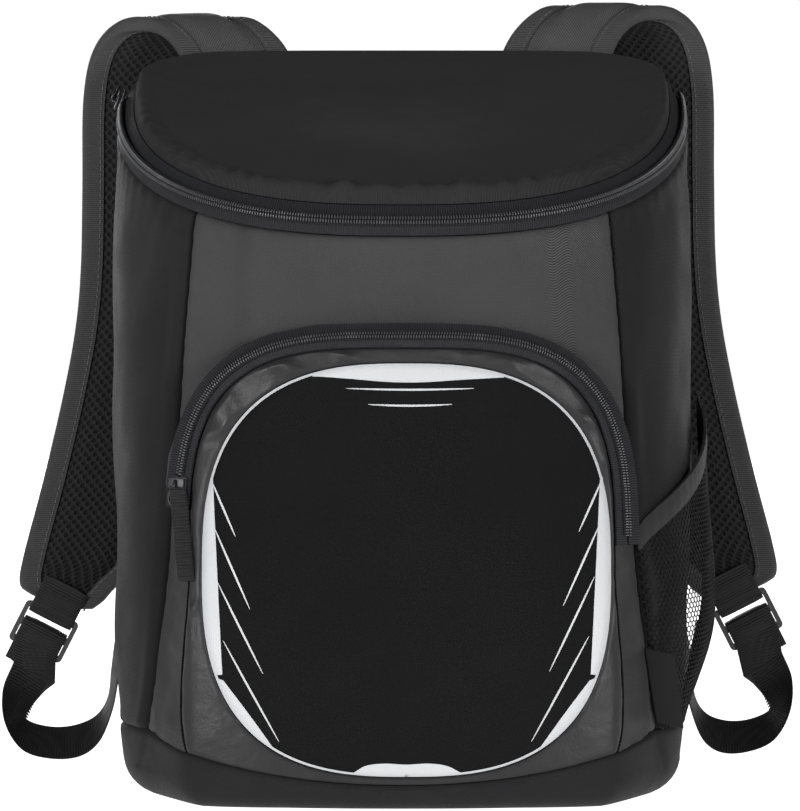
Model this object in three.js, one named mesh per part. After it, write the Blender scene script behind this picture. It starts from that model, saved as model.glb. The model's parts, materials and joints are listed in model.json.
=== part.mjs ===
// Cooler backpack: an insulated tub with a sloping zipped lid, an arched front pocket, a net side pocket
// and two padded shoulder straps with webbing adjusters.
// Millimetres. X runs across the bag, the front faces -Y, Z is up, and the origin is the centre of the base.
import * as THREE from 'three';

const { abs, sin, cos, sign, max, min, PI } = Math;
const { lerp, smoothstep, degToRad, clamp } = THREE.MathUtils;

// Clearance left between pieces that are sewn or pressed together
const seamGap = 0.35;

// Tub
const halfWidth = 150;
const backReach = 100;
const frontReach = 84;
const widestBehind = 70; // how far behind the origin the plan is widest
const wall = 6; // outer cloth, foam and liner together
const floorThickness = 5;
const bottomRound = 14;
const backBoxiness = 4;

// Zip line round the top, which slopes down to the front
const zipFrontHeight = 288;
const zipBackHeight = 360.5;

// Base boot's top seam, which dips in front and peaks at the front corners
const bootFrontHeight = 12.2;
const bootCornerHeight = 34.5;
const bootSideHeight = 30;
const bootDipPower = 2.1;

// Lid and its zip
const lidThickness = 9;
const lidLoft = 10; // how far the middle of the lid's top stands above its seam
const tapeThickness = 1.2;
const tapeWidth = 8;
const coilWidth = 6.4;
const coilHeight = 2.6;
const sliderWidth = 9;
const sliderLength = 12;
const sliderThickness = 3.4;
const lidZipEnd = degToRad(112);
const backSeam = degToRad(124);

// Front pocket
const pocketDepth = 22;
const pocketTopDepth = 0.55; // share of the depth that is left at the pocket's top
const pocketWall = 2.2;
const pocketMiddle = 118;
const panelHalfWidth = 101;
const panelHalfHeight = 101.5;
const panelShift = 2.2; // the panel sits a little to the right of the border's middle
const panelCrown = 5;
const panelRoundness = 2.7;
const borderHalfWidth = 105;
const borderHalfHeight = 108.4;
const borderRoundness = 3.4;
const borderFlare = 4.5;
const pocketZipEndLeft = 152;
const pocketZipEndRight = 134;
const gussetRootHigh = 9.5; // how far the gusset spreads out from the border seam to reach the tub
const gussetRootLow = 14.5;
const pullWidth = 8.5;
const pullLength = 46;
const pullThickness = 2.4;
const pullSwing = 4.5;

// Net side pocket, on the right side
const netThickness = 1.2;
const netBulge = 15;
const netFrontHeight = 126;
const netBackHeight = 188;
const netStart = 0.008; // turn from the front seam to the net's front edge
const bandHeight = 11;
const bandThickness = 2;
const bindingWidth = 9;

// Label in the right front seam
const labelWidth = 12;
const labelLength = 42;
const labelThickness = 1;

// Shoulder straps
const strapThickness = 10;
const strapLining = 2.4;
const strapBinding = 12;

// Ladder lock and adjuster webbing
const webbingWidth = 25;
const webbingThickness = 1.3;
const lockWidth = 31;
const lockLength = 24;
const lockThickness = 4;
const lockBar = 3.6;
const lockTilt = degToRad(27);
const anchorPatch = 34;

const cloth = (color) => new THREE.MeshStandardMaterial({ color, roughness: 0.75, metalness: 0 });
const materials = {
  shell: cloth(0x3b3b3c),
  lid: cloth(0x2b2b2b),
  boot: cloth(0x353437),
  tape: cloth(0x333439),
  print: cloth(0x1f1f1f),
  coated: cloth(0x4c4a4c),
  mesh: cloth(0x1b1b1c),
  webbing: cloth(0x1a1a1b),
  plastic: new THREE.MeshStandardMaterial({ color: 0x161617, roughness: 0.4, metalness: 0 }),
  coil: new THREE.MeshStandardMaterial({ color: 0x2a2b2e, roughness: 0.35, metalness: 0 }),
};

const bag = new THREE.Group();

function add(name, geometry, material) {
  const piece = new THREE.Mesh(geometry, material);
  piece.name = name;
  bag.add(piece);
  return piece;
}

// A smooth curve through one column of a table, whose rows are in order of their first column
function column(rows, along, name) {
  return (at) => {
    const last = rows.length - 1;
    let k = 0;
    while (k < last - 1 && at > rows[k + 1][along]) k++;
    const [a, b] = [rows[k], rows[k + 1]];
    const slopeAt = (i) => {
      const [before, after] = [rows[max(i - 1, 0)], rows[min(i + 1, last)]];
      return (after[name] - before[name]) / (after[along] - before[along]);
    };
    const span = b[along] - a[along];
    const t = clamp((at - a[along]) / span, 0, 1);
    const [t2, t3] = [t * t, t * t * t];
    return (2 * t3 - 3 * t2 + 1) * a[name] + (t3 - 2 * t2 + t) * span * slopeAt(k)
      + (3 * t2 - 2 * t3) * b[name] + (t3 - t2) * span * slopeAt(k + 1);
  };
}

// Loose triangles as a geometry that faces outwards; triangles with no area are left out
function solidOf(triangles) {
  const real = triangles.filter(([a, b, c]) => !a.equals(b) && !b.equals(c) && !c.equals(a));
  const volume = real.reduce((sum, [a, b, c]) => sum + a.dot(b.clone().cross(c)), 0);
  const corners = real.flatMap(([a, b, c]) => (volume < 0 ? [a, c, b] : [a, b, c]));
  const geometry = new THREE.BufferGeometry().setFromPoints(corners);
  geometry.computeVertexNormals();
  return geometry;
}

// A closed wall from a grid of stations, each a pair of points on the wall's two sides.
// wrap joins the last row to the first, and rows may share their first station as a pole.
function wallSolid(grid, wrap = false) {
  const triangles = [];
  const quad = (a, b, c, d) => triangles.push([a, b, c], [a, c, d]);
  const last = grid[0].length - 1;
  const rows = wrap ? grid.length : grid.length - 1;
  for (let i = 0; i < rows; i++) {
    const [here, next] = [grid[i], grid[(i + 1) % grid.length]];
    for (let j = 0; j < last; j++) {
      quad(here[j][0], next[j][0], next[j + 1][0], here[j + 1][0]);
      quad(here[j][1], here[j + 1][1], next[j + 1][1], next[j][1]);
    }
    quad(here[last][0], next[last][0], next[last][1], here[last][1]);
    quad(here[0][0], here[0][1], next[0][1], next[0][0]);
  }
  for (let j = 0; j < last && !wrap; j++) {
    const [first, end] = [grid[0], grid[rows]];
    quad(first[j][0], first[j + 1][0], first[j + 1][1], first[j][1]);
    quad(end[j][0], end[j][1], end[j + 1][1], end[j + 1][0]);
  }
  return solidOf(triangles);
}

const steps = (count) => Array.from({ length: count + 1 }, (_, i) => i / count);

// Tub
// Plan of the tub at several heights, as shares of the zip's back height, the half width and the front reach.
// boxiness is the power of the rounded front: 2 is an ellipse, and higher is squarer.
const tubSections = [
  { height: 0.0, width: 0.94, reach: 1.0, boxiness: 4.6 },
  { height: 0.09, width: 0.966, reach: 1.0, boxiness: 4.4 },
  { height: 0.31, width: 0.985, reach: 1.0, boxiness: 3.7 },
  { height: 0.56, width: 1.0, reach: 0.98, boxiness: 3.05 },
  { height: 0.8, width: 0.991, reach: 0.92, boxiness: 2.5 },
  { height: 1.0, width: 0.985, reach: 0.88, boxiness: 2.35 },
];
const widthShare = column(tubSections, 'height', 'width');
const reachShare = column(tubSections, 'height', 'reach');
const boxinessAt = column(tubSections, 'height', 'boxiness');

function sectionAt(z) {
  const share = z / zipBackHeight;
  return {
    width: halfWidth * widthShare(share),
    reach: widestBehind + frontReach * reachShare(share),
    boxiness: boxinessAt(share),
  };
}

// How far an angle is from the middle of the front, either way round
const fromFront = (angle) => Math.acos(cos(angle));

// Point of the tub's outline, where angle 0 is the middle of the front and PI the middle of the back
function outline(angle, z) {
  const section = sectionAt(z);
  const front = cos(angle) >= 0;
  const power = front ? section.boxiness : backBoxiness;
  const reach = front ? section.reach : backReach - widestBehind;
  const size = (abs(sin(angle)) ** power + abs(cos(angle)) ** power) ** (-1 / power);
  return new THREE.Vector2(section.width * size * sin(angle), widestBehind - reach * size * cos(angle));
}

// Outline point moved in by inset along the plan's normal; bulge is how far the front is pushed forward
function insetOutline(angle, z, inset, bulge = () => 0) {
  const turn = 0.012;
  const at = (a) => {
    const p = outline(a, z);
    return cos(a) > 0 ? p.setY(p.y - bulge(p.x, z)) : p;
  };
  const along = at(angle + turn).sub(at(angle - turn)).normalize();
  return at(angle).add(new THREE.Vector2(-along.y, along.x).multiplyScalar(inset));
}

function tubPoint(angle, z, inset) {
  const p = insetOutline(angle, z, inset);
  return new THREE.Vector3(p.x, p.y, z);
}

// y of the tub's front at x
function tubFront(x, z) {
  const section = sectionAt(z);
  const share = min(abs(x) / section.width, 1);
  return widestBehind - section.reach * (1 - share ** section.boxiness) ** (1 / section.boxiness);
}

// Front seam, as a share of the half width, against the share of the way from boot to rim
const frontSeam = [
  { rise: 0.0, x: 0.857 },
  { rise: 0.14, x: 0.822 },
  { rise: 0.28, x: 0.793 },
  { rise: 0.43, x: 0.768 },
  { rise: 0.6, x: 0.749 },
  { rise: 0.78, x: 0.731 },
  { rise: 1.0, x: 0.7 },
];
const seamShare = column(frontSeam, 'rise', 'x');

function seamAngle(rise) {
  const section = sectionAt(lerp(bootCornerHeight, zipFrontHeight, rise));
  const part = ((seamShare(rise) * halfWidth) / section.width) ** section.boxiness;
  return Math.atan((part / (1 - part)) ** (1 / section.boxiness));
}

const cornerX = seamShare(0) * halfWidth;
const bootCorner = seamAngle(0);

const bootSeamAt = (x) =>
  lerp(bootFrontHeight, bootCornerHeight, min(abs(x) / cornerX, 1) ** bootDipPower);

function bootSeam(angle) {
  const x = outline(angle, bootCornerHeight).x;
  const turn = fromFront(angle);
  if (turn < bootCorner) return bootSeamAt(x);
  return lerp(bootCornerHeight, bootSideHeight, smoothstep(turn, bootCorner, PI / 2));
}

// Zip line
const zipSlope = (zipBackHeight - zipFrontHeight) / (backReach + frontReach * reachShare(0.8));
const zipHeight = (y) => zipBackHeight - (backReach - y) * zipSlope;

// Point near the zip line, inset from the tub's outline and raised above the zip's plane
function rimPoint(angle, inset, rise) {
  let z = zipFrontHeight;
  for (let pass = 0; pass < 8; pass++) z = zipHeight(outline(angle, z).y);
  const p = insetOutline(angle, z, inset);
  return new THREE.Vector3(p.x, p.y, zipHeight(p.y) + rise);
}

const lowerTapeDrop = 6.5;
const lidSeamRise = tapeWidth * sin(degToRad(52));
const lidSeamInset = 2.4 + tapeWidth * cos(degToRad(35));
const lidBackInset = 1;
const lidBackRise = 5;

// Behind the zip's ends the walls rise to the lid's own edge
function wallTop(angle) {
  const behind = smoothstep(fromFront(angle), lidZipEnd + 0.13, lidZipEnd + 0.21);
  return rimPoint(angle, 0, lerp(-lowerTapeDrop, lidSeamRise + lidBackRise - 6, behind)).z - seamGap;
}

const panelRows = 6;
const frontColumns = 16;
const sideColumns = 11;
const backColumns = 10;

function tubPanel(columns, angleAt, bottomAt) {
  return wallSolid(steps(columns).map((across) => steps(panelRows).map((rise) => {
    const angle = angleAt(across, rise);
    const z = lerp(bottomAt(angle), wallTop(angle), rise);
    return [tubPoint(angle, z, 0), tubPoint(angle, z, wall)];
  })));
}

// An angle wide enough to leave the seam's gap anywhere on the outline
const gapAngle = (1.6 * seamGap) / halfWidth;

// The front panel reaches the floor behind the pocket, and stands on the boot at its sides
function frontBottom(angle) {
  const x = abs(outline(angle, bootCornerHeight).x);
  const onBoot = smoothstep(x, 0.66 * cornerX, 0.8 * cornerX);
  return lerp(floorThickness, bootSeam(angle), onBoot) + seamGap;
}
const sideBottom = (angle) => bootSeam(angle) + seamGap;

add('front_panel', tubPanel(frontColumns, (across, rise) =>
  (2 * across - 1) * (seamAngle(rise) - gapAngle), frontBottom), materials.shell);

for (const [name, side] of [['side_panel_left', -1], ['side_panel_right', 1]])
  add(name, tubPanel(sideColumns, (across, rise) =>
    side * lerp(seamAngle(rise) + gapAngle, backSeam - gapAngle, across), sideBottom), materials.shell);

add('back_panel', tubPanel(backColumns, (across) =>
  lerp(backSeam + gapAngle, 2 * PI - backSeam - gapAngle, across), sideBottom), materials.shell);

// Front pocket's bulge in front of the tub, which the boot shares below it
function pocketBulge(x, z) {
  const across = 1 - smoothstep(abs(x), 0.8 * cornerX, 1.02 * cornerX);
  const up = lerp(1, pocketTopDepth, smoothstep(z, pocketMiddle / 2, pocketMiddle + panelHalfHeight));
  return pocketDepth * across * up;
}
const pocketSkin = (x, z) => tubFront(x, z) - pocketBulge(x, z);

// Base boot: a cup whose floor meets the ground and whose rim follows the boot seam
function bootStation(angle, z, inset) {
  const p = insetOutline(angle, max(z, 0), inset, pocketBulge);
  return new THREE.Vector3(p.x, p.y, z);
}

function bootRow(angle) {
  const seam = bootSeam(angle);
  const round = min(bottomRound, 0.85 * seam);
  const centre = (backReach - frontReach) / 2;
  const innerRound = max(round - floorThickness, 1);
  const curve = [0, 0.5, 1].map((share) => {
    const turn = (share * PI) / 2;
    return [
      bootStation(angle, round * (1 - cos(turn)), round * (1 - sin(turn))),
      bootStation(angle, floorThickness + innerRound * (1 - cos(turn)), wall + innerRound * (1 - sin(turn))),
    ];
  });
  const rim = bootStation(angle, seam, wall);
  if (fromFront(angle) < bootCorner + 0.01) rim.z = bootSeamAt(rim.x);
  return [
    [new THREE.Vector3(0, centre, 0), new THREE.Vector3(0, centre, floorThickness)],
    ...curve,
    [bootStation(angle, seam, 0), rim],
  ];
}

// The boot's facets meet those of the panels that stand on it
const stretch = (from, to, count) => steps(count).slice(0, -1).map((share) => lerp(from, to, share));
const bootAngles = [
  ...stretch(-bootCorner, bootCorner, frontColumns),
  ...stretch(bootCorner, backSeam, sideColumns),
  ...stretch(backSeam, 2 * PI - backSeam, backColumns),
  ...stretch(2 * PI - backSeam, 2 * PI - bootCorner, sideColumns),
];
add('base_boot', wallSolid(bootAngles.map(bootRow), true), materials.boot);

// Lid: a padded panel with a rolled edge, sewn to the upper zip tape and to the back panel
function lidEdge(angle) {
  const behind = smoothstep(fromFront(angle), lidZipEnd, lidZipEnd + 0.15);
  return rimPoint(angle, lerp(lidSeamInset, lidBackInset, behind), lidSeamRise + lidBackRise * behind);
}

// Height of the lid's two sides above the zip's plane, past its seam, against the share of the way to the edge
const lidProfile = [
  { out: 0.0, top: 1.0, under: 0.0 },
  { out: 0.4, top: 0.95, under: -0.04 },
  { out: 0.72, top: 0.84, under: -0.12 },
  { out: 0.9, top: 0.68, under: -0.2 },
  { out: 0.965, top: 0.46, under: -0.2 },
  { out: 1.0, top: 0.06, under: -0.1 },
];
const lidMiddle = (backReach - frontReach) / 2;

function lidRow(angle) {
  const edge = lidEdge(angle);
  return lidProfile.map(({ out, top, under }) => {
    const [x, y] = [edge.x * out, lerp(lidMiddle, edge.y, out)];
    const seamZ = zipHeight(y) + lerp(lidSeamRise, edge.z - zipHeight(edge.y), out ** 5);
    return [
      new THREE.Vector3(x, y, seamZ + top * lidLoft),
      new THREE.Vector3(x, y, seamZ + under * lidThickness),
    ];
  });
}
add('lid_panel', wallSolid(steps(40).slice(0, -1).map((share) => lidRow((2 * share - 1) * PI)), true),
  materials.lid);

// A strip round the rim between two lines, each given by its inset and its rise
function rimStrip(low, high, thickness, count = 40) {
  return wallSolid(steps(count).map((share) => {
    const angle = (2 * share - 1) * (lidZipEnd - 0.03);
    return [low, high].map(([inset, rise]) => [
      rimPoint(angle, inset, rise),
      rimPoint(angle, inset + thickness, rise - 0.4 * thickness),
    ]);
  }));
}
add('lid_zip_tape_lower', rimStrip([0.3, -lowerTapeDrop + seamGap], [1.9, -seamGap], tapeThickness),
  materials.tape);
add('lid_zip_tape_upper', rimStrip([2.7, seamGap], [lidSeamInset - 0.8, lidSeamRise - 1.5], tapeThickness),
  materials.tape);

// A solid swept through frames, each a ring of points round the section; the ends are closed by fans
function sweepSolid(rings, closed = false) {
  const triangles = [];
  const count = rings[0].length;
  const spans = closed ? rings.length : rings.length - 1;
  for (let i = 0; i < spans; i++) {
    const [here, next] = [rings[i], rings[(i + 1) % rings.length]];
    for (let j = 0; j < count; j++) {
      const k = (j + 1) % count;
      triangles.push([here[j], next[j], next[k]], [here[j], next[k], here[k]]);
    }
  }
  for (let j = 1; j < count - 1 && !closed; j++) {
    const end = rings[spans];
    triangles.push([rings[0][0], rings[0][j], rings[0][j + 1]], [end[0], end[j + 1], end[j]]);
  }
  return solidOf(triangles);
}

// Zip coil: a half-round ridge along frames of a point, a direction across the zip and an outward one
function coilSolid(frames) {
  return sweepSolid(frames.map(({ point, across, out }) => steps(4).map((share) => {
    const turn = share * PI;
    return point.clone().addScaledVector(across, -cos(turn) * coilWidth / 2)
      .addScaledVector(out, seamGap + sin(turn) * coilHeight);
  })));
}

// Zip sliders: a body on the coil's end
function sliderSolid({ point, across, out }, along) {
  const size = [sliderWidth, sliderLength, sliderThickness];
  const box = new THREE.BoxGeometry(...size);
  const basis = new THREE.Matrix4().makeBasis(across, along, across.clone().cross(along));
  basis.setPosition(point.clone().addScaledVector(out, seamGap + sliderThickness / 2));
  return box.applyMatrix4(basis);
}

function lidCoilFrame(angle) {
  const point = rimPoint(angle, 2.3, 0);
  const above = rimPoint(angle, 3.6, lidSeamRise / 2);
  const below = rimPoint(angle, 1.5, -lowerTapeDrop / 2);
  const along = rimPoint(angle + 0.02, 2.3, 0).sub(rimPoint(angle - 0.02, 2.3, 0)).normalize();
  const across = above.sub(below).normalize();
  const out = across.clone().cross(along).normalize();
  const centre = new THREE.Vector3(0, widestBehind, point.z);
  if (out.dot(point.clone().sub(centre)) < 0) out.negate();
  return { point: point.addScaledVector(out, 0.5), across, out, along };
}
const coilStart = degToRad(-89);
const lidSliderAngle = degToRad(-100);
add('lid_zip_coil', coilSolid(steps(40).map((share) => lidCoilFrame(lerp(coilStart, lidZipEnd, share)))),
  materials.coil);
const lidSliderFrame = lidCoilFrame(lidSliderAngle);
add('lid_zip_slider', sliderSolid(lidSliderFrame, lidSliderFrame.along), materials.plastic);

// Front pocket
// Point inside the pocket's skin; crown pushes the skin forward
function skinPoint(x, z, inset, crown = 0) {
  const d = 0.5;
  const slope = [pocketSkin(x + d, z) - pocketSkin(x - d, z), pocketSkin(x, z + d) - pocketSkin(x, z - d)];
  const inwards = new THREE.Vector3(-slope[0] / (2 * d), 1, -slope[1] / (2 * d)).normalize();
  return new THREE.Vector3(x, pocketSkin(x, z) - crown, z).addScaledVector(inwards, inset);
}

// Radius of a rounded outline in the direction turn, measured from the top
const roundness = (turn, across, up, power) =>
  ((abs(sin(turn)) / across) ** power + (abs(cos(turn)) / up) ** power) ** (-1 / power);

function panelOutline(turn, grow) {
  const radius = roundness(turn, panelHalfWidth + grow, panelHalfHeight + grow, panelRoundness);
  return [panelShift + radius * sin(turn), pocketMiddle + radius * cos(turn)];
}

// Seam round the border: arched above, square below, where it stands on the boot
function borderOutline(turn, grow) {
  const below = cos(turn) < 0;
  const flare = below ? borderFlare * smoothstep(-cos(turn), 0, 0.6) : 0;
  const up = below ? pocketMiddle - bootFrontHeight : borderHalfHeight + grow;
  const power = below ? 9 : borderRoundness;
  const radius = roundness(turn, borderHalfWidth + flare + grow, up, power);
  const x = radius * sin(turn);
  return [x, max(pocketMiddle + radius * cos(turn), bootSeamAt(x) + seamGap + 0.2)];
}

const around = steps(44).slice(0, -1).map((share) => (2 * share - 1) * PI);

add('pocket_panel', wallSolid(around.map((turn) => [0, 0.45, 0.8, 1].map((share) => {
  const [edgeX, edgeZ] = panelOutline(turn, -seamGap / 2);
  const [x, z] = [edgeX * share, lerp(pocketMiddle, edgeZ, share)];
  const crown = panelCrown * (1 - share ** 3);
  return [skinPoint(x, z, 0, crown), skinPoint(x, z, pocketWall, crown)];
})), true), materials.print);

add('pocket_border', wallSolid(around.map((turn) => {
  const [inner, outer] = [panelOutline(turn, seamGap / 2), borderOutline(turn, 0)];
  return steps(2).map((share) => {
    const [x, z] = [lerp(inner[0], outer[0], share), lerp(inner[1], outer[1], share)];
    return [skinPoint(x, z, 0), skinPoint(x, z, pocketWall)];
  });
}), true), materials.coated);

// The pocket's edge rolls back from the border seam: out is measured in the front plane, back along Y
function pocketEdge(turn, out, back, inset = 0) {
  const [x, z] = borderOutline(turn, 0);
  const [ox, oz] = [borderOutline(turn + 0.01, 0), borderOutline(turn - 0.01, 0)];
  const tangent = new THREE.Vector2(ox[0] - oz[0], ox[1] - oz[1]).normalize();
  const normal = new THREE.Vector2(-tangent.y, tangent.x);
  const grow = out - 0.7 * inset;
  return new THREE.Vector3(x + normal.x * grow, pocketSkin(x, z) + back + 0.7 * inset, z + normal.y * grow);
}

// How far out from the border seam the gusset meets the tub, near the side seam
const rootOut = (z) => lerp(gussetRootLow, gussetRootHigh, smoothstep(z, bootCornerHeight, pocketZipEndLeft));

// Turns at which the pocket's zip and gusset end; turns run from the top, clockwise seen from the front
const turnAt = (x, z) => Math.atan2(x, z - pocketMiddle);
const zipTurns = [turnAt(-borderHalfWidth, pocketZipEndLeft), turnAt(borderHalfWidth, pocketZipEndRight)];
const gussetTurn = turnAt(borderHalfWidth + borderFlare, bootCornerHeight);

function onPocketZip(turn) {
  const left = smoothstep(turn, zipTurns[0] - 0.06, zipTurns[0]);
  const right = 1 - smoothstep(turn, zipTurns[1], zipTurns[1] + 0.06);
  return min(left, right);
}

function gussetRootPoint(turn, inset) {
  const [, edgeZ] = borderOutline(turn, 0);
  const at = pocketEdge(turn, rootOut(edgeZ) - inset, 0);
  return new THREE.Vector3(at.x, tubFront(at.x, at.z) - seamGap - 0.6, at.z);
}

add('pocket_gusset', wallSolid(steps(46).map((share) => {
  const turn = lerp(-gussetTurn, gussetTurn, share);
  const zipped = onPocketZip(turn);
  const lip = (inset) => pocketEdge(turn, lerp(seamGap, 12.6, zipped), lerp(0.8, 7.2, zipped), inset);
  const [front, behind] = [lip(0), lip(pocketWall)];
  const [root, rootBehind] = [gussetRootPoint(turn, 0), gussetRootPoint(turn, pocketWall)];
  front.z = max(front.z, bootSeamAt(front.x) + seamGap);
  return steps(2).map((down) => [
    front.clone().lerp(root, down),
    behind.clone().lerp(rootBehind, down),
  ]);
})), materials.shell);

function pocketStrip(from, to, thickness) {
  return wallSolid(steps(40).map((share) => {
    const turn = lerp(zipTurns[0] + 0.03, zipTurns[1] - 0.06, share);
    return [from, to].map(([out, back]) => [
      pocketEdge(turn, out, back),
      pocketEdge(turn, out, back, thickness),
    ]);
  }));
}
add('pocket_zip_tape_inner', pocketStrip([1.4, 0.5], [5.8, 1.6], tapeThickness), materials.tape);
add('pocket_zip_tape_outer', pocketStrip([7.0, 2.2], [12.0, 6.2], tapeThickness), materials.tape);

function pocketCoilFrame(turn) {
  const point = pocketEdge(turn, 6.6, 1.4);
  const across = pocketEdge(turn, 9, 3).sub(pocketEdge(turn, 4, 1)).normalize();
  const along = pocketEdge(turn + 0.02, 6.6, 1.4).sub(pocketEdge(turn - 0.02, 6.6, 1.4)).normalize();
  const out = across.clone().cross(along).normalize();
  if (out.y > 0) out.negate();
  return { point, across, out, along };
}
const pocketCoilStart = turnAt(-borderHalfWidth, pocketZipEndLeft + sliderLength);
add('pocket_zip_coil', coilSolid(steps(44).map((share) =>
  pocketCoilFrame(lerp(pocketCoilStart, zipTurns[1], share)))), materials.coil);

const pocketSliderFrame = pocketCoilFrame(turnAt(-borderHalfWidth, pocketZipEndLeft + sliderLength * 0.4));
add('pocket_zip_slider', sliderSolid(pocketSliderFrame, pocketSliderFrame.along), materials.plastic);

// Pull tab: a ribbed strap that hangs from the slider
function pullTab() {
  const top = pocketSliderFrame.point;
  const at = (down, across, up) => {
    const x = top.x + pullSwing * down + (across * pullWidth) / 2;
    const z = top.z + 1 - pullLength * down;
    const y = min(pocketSkin(-borderHalfWidth, z) - 2.4, top.y - sliderThickness - 2.4);
    return new THREE.Vector3(x, y - up, z);
  };
  return wallSolid(steps(8).map((down) => [-1, 1].map((across) => [
    at(down, across, pullThickness),
    at(down, across, 0),
  ])));
}
add('pocket_zip_pull', pullTab(), materials.plastic);

// Net side pocket: a net that stands off the right side panel, with an elastic band and a rear binding
const netBack = degToRad(100);
const netTop = (across) => lerp(netFrontHeight, netBackHeight, across ** 0.75);
const netProfile = [
  { up: 0.0, bulge: 0.0 },
  { up: 0.15, bulge: 0.45 },
  { up: 0.38, bulge: 1.0 },
  { up: 0.65, bulge: 0.75 },
  { up: 1.0, bulge: 0.42 },
];
const netBulgeUp = column(netProfile, 'up', 'bulge');
const netBulgeAcross = (across) => sin(PI * min(across / 0.7, 1) / 2) ** 1.3
  * (1 - 0.35 * smoothstep(across, 0.75, 1));

function netPoint(across, z, out) {
  const low = bootSideHeight + 4;
  const rise = clamp((z - bootCornerHeight) / (zipFrontHeight - bootCornerHeight), 0, 1);
  const angle = lerp(seamAngle(rise) + netStart, netBack, across);
  const up = clamp((z - low) / (netTop(across) - low), 0, 1);
  return tubPoint(angle, z, -seamGap - netBulge * netBulgeUp(up) * netBulgeAcross(across) - out);
}

function netStrip(columns, rows, bottom, top, thickness, from = 0, to = 1) {
  return wallSolid(steps(columns).map((share) => steps(rows).map((up) => {
    const across = lerp(from, to, share);
    const z = lerp(bottom(across), top(across), up);
    return [netPoint(across, z, thickness), netPoint(across, z, 0)];
  })));
}
const netLow = () => bootCornerHeight + 1;
add('side_pocket_net', netStrip(12, 6, netLow, netTop, netThickness), materials.mesh);
add('side_pocket_band', netStrip(12, 1, (a) => netTop(a) + seamGap, (a) => netTop(a) + bandHeight,
  bandThickness), materials.webbing);
add('side_pocket_binding', netStrip(1, 5, netLow, () => 78, bandThickness, 1.02, 1.02 + bindingWidth / 90),
  materials.webbing);

// Label, sewn in the right front seam near the boot
function labelPoint(across, z, out) {
  const rise = (z - bootCornerHeight) / (zipFrontHeight - bootCornerHeight);
  const lift = 2.1 + across * 6.4 + out;
  return tubPoint(seamAngle(max(rise, 0)) + 0.004 + across * (labelWidth / halfWidth), z - 4 * across, -lift);
}
add('side_label', wallSolid(steps(2).map((down) => steps(1).map((across) => {
  const z = lerp(bootCornerHeight + labelLength, bootCornerHeight + 4.6, down);
  return [labelPoint(across, z, labelThickness), labelPoint(across, z, 0)];
}))), materials.webbing);

// Shoulder straps
// Middle of a strap from its root on the back panel, over its arch and down to its lower end
const strapPath = [
  { x: 84, y: 105.9, z: 350, half: 29.5 },
  { x: 86, y: 107, z: 369, half: 29.5 },
  { x: 94, y: 112, z: 383, half: 29.5 },
  { x: 107, y: 121, z: 391.5, half: 30 },
  { x: 122.5, y: 133, z: 390.5, half: 31.5 },
  { x: 134, y: 144, z: 378, half: 32 },
  { x: 139, y: 151, z: 352, half: 32.5 },
  { x: 140, y: 157, z: 306, half: 32.5 },
  { x: 141, y: 158, z: 262, half: 32.5 },
  { x: 144, y: 155, z: 228, half: 32.5 },
  { x: 151, y: 151, z: 190, half: 32.5 },
  { x: 161, y: 146, z: 147, half: 32.5 },
  { x: 171, y: 140.5, z: 108, half: 32.5 },
  { x: 178.5, y: 137.8, z: 93, half: 27 },
  { x: 178.5, y: 137.2, z: 87.5, half: 22 },
  { x: 175.5, y: 136.8, z: 83, half: 15 },
  { x: 174, y: 136.5, z: 79, half: 8 },
].map((row, at) => ({ ...row, at }));
const sidesOfBag = [['left', -1], ['right', 1]];

// The right strap sits a little higher and closer in
const strapLift = (side) => (side > 0 ? 6 : 0);
const strapShift = (side) => (side > 0 ? -4 : 0);

function strapStation(side, at) {
  const part = Object.fromEntries(['x', 'y', 'z', 'half'].map((name) =>
    [name, column(strapPath, 'at', name)]));
  const centre = (k) => new THREE.Vector3(side * (part.x(k) + strapShift(side)), part.y(k),
    part.z(k) + strapLift(side));
  const slope = centre(min(at + 0.05, strapPath.length - 1)).sub(centre(max(at - 0.05, 0)));
  const up = new THREE.Vector3(0, -slope.z, slope.y).normalize();
  return { centre: centre(at), half: part.half(at), up };
}

function strapPoint(side, at, across, up) {
  const station = strapStation(side, at);
  const point = station.centre.clone().addScaledVector(station.up, up);
  point.x += side * across;
  return point;
}

// The strap's edges are pressed flat under the binding; padding is how full it is across
function strapLayers(half, across) {
  const padding = smoothstep(half - abs(across), strapBinding + 1, strapBinding + 9)
    * smoothstep(half, 22, 31);
  const room = strapThickness / 2;
  return {
    top: lerp(2.6, room, padding),
    split: lerp(-0.6, strapLining - room, padding),
    under: lerp(-2.6, -room, padding),
  };
}

const strapAcross = [-1, -0.62, 0, 0.62, 1];
// Stations are closer together over the arch and at the rounded end
const strapSpans = [{ from: 0, to: 6, count: 13 }, { from: 6, to: 12, count: 6 }, { from: 12, to: 16, count: 7 }];
const strapStops = [0, ...strapSpans.flatMap(({ from, to, count }) =>
  steps(count).slice(1).map((share) => lerp(from, to, share)))];

function strapLayer(side, sides) {
  return wallSolid(strapStops.map((at) => {
    const { half } = strapStation(side, at);
    return strapAcross.map((part) => {
      const across = part * (half - 2.9);
      return sides(strapLayers(half, across)).map((up) => strapPoint(side, at, across, up));
    });
  }));
}

// Binding: folded over the edge, down one side of the strap, round its lower end and up the other
function strapBindingRow(side, at, edge) {
  const { half } = strapStation(side, at);
  const cover = min(strapBinding, half * 0.8);
  const outer = 2.6 + seamGap;
  const thickness = 1.3;
  const fold = [
    { inwards: cover, up: -outer },
    { inwards: 1.4, up: -outer },
    { inwards: 1.4, up: outer },
    { inwards: cover, up: outer },
  ];
  return fold.map(({ inwards, up }) => {
    const edgeOut = inwards < 2 ? 0.1 : inwards;
    return [
      strapPoint(side, at, edge * (half - edgeOut), up + sign(up) * thickness),
      strapPoint(side, at, edge * (half - inwards), up),
    ];
  });
}

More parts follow.
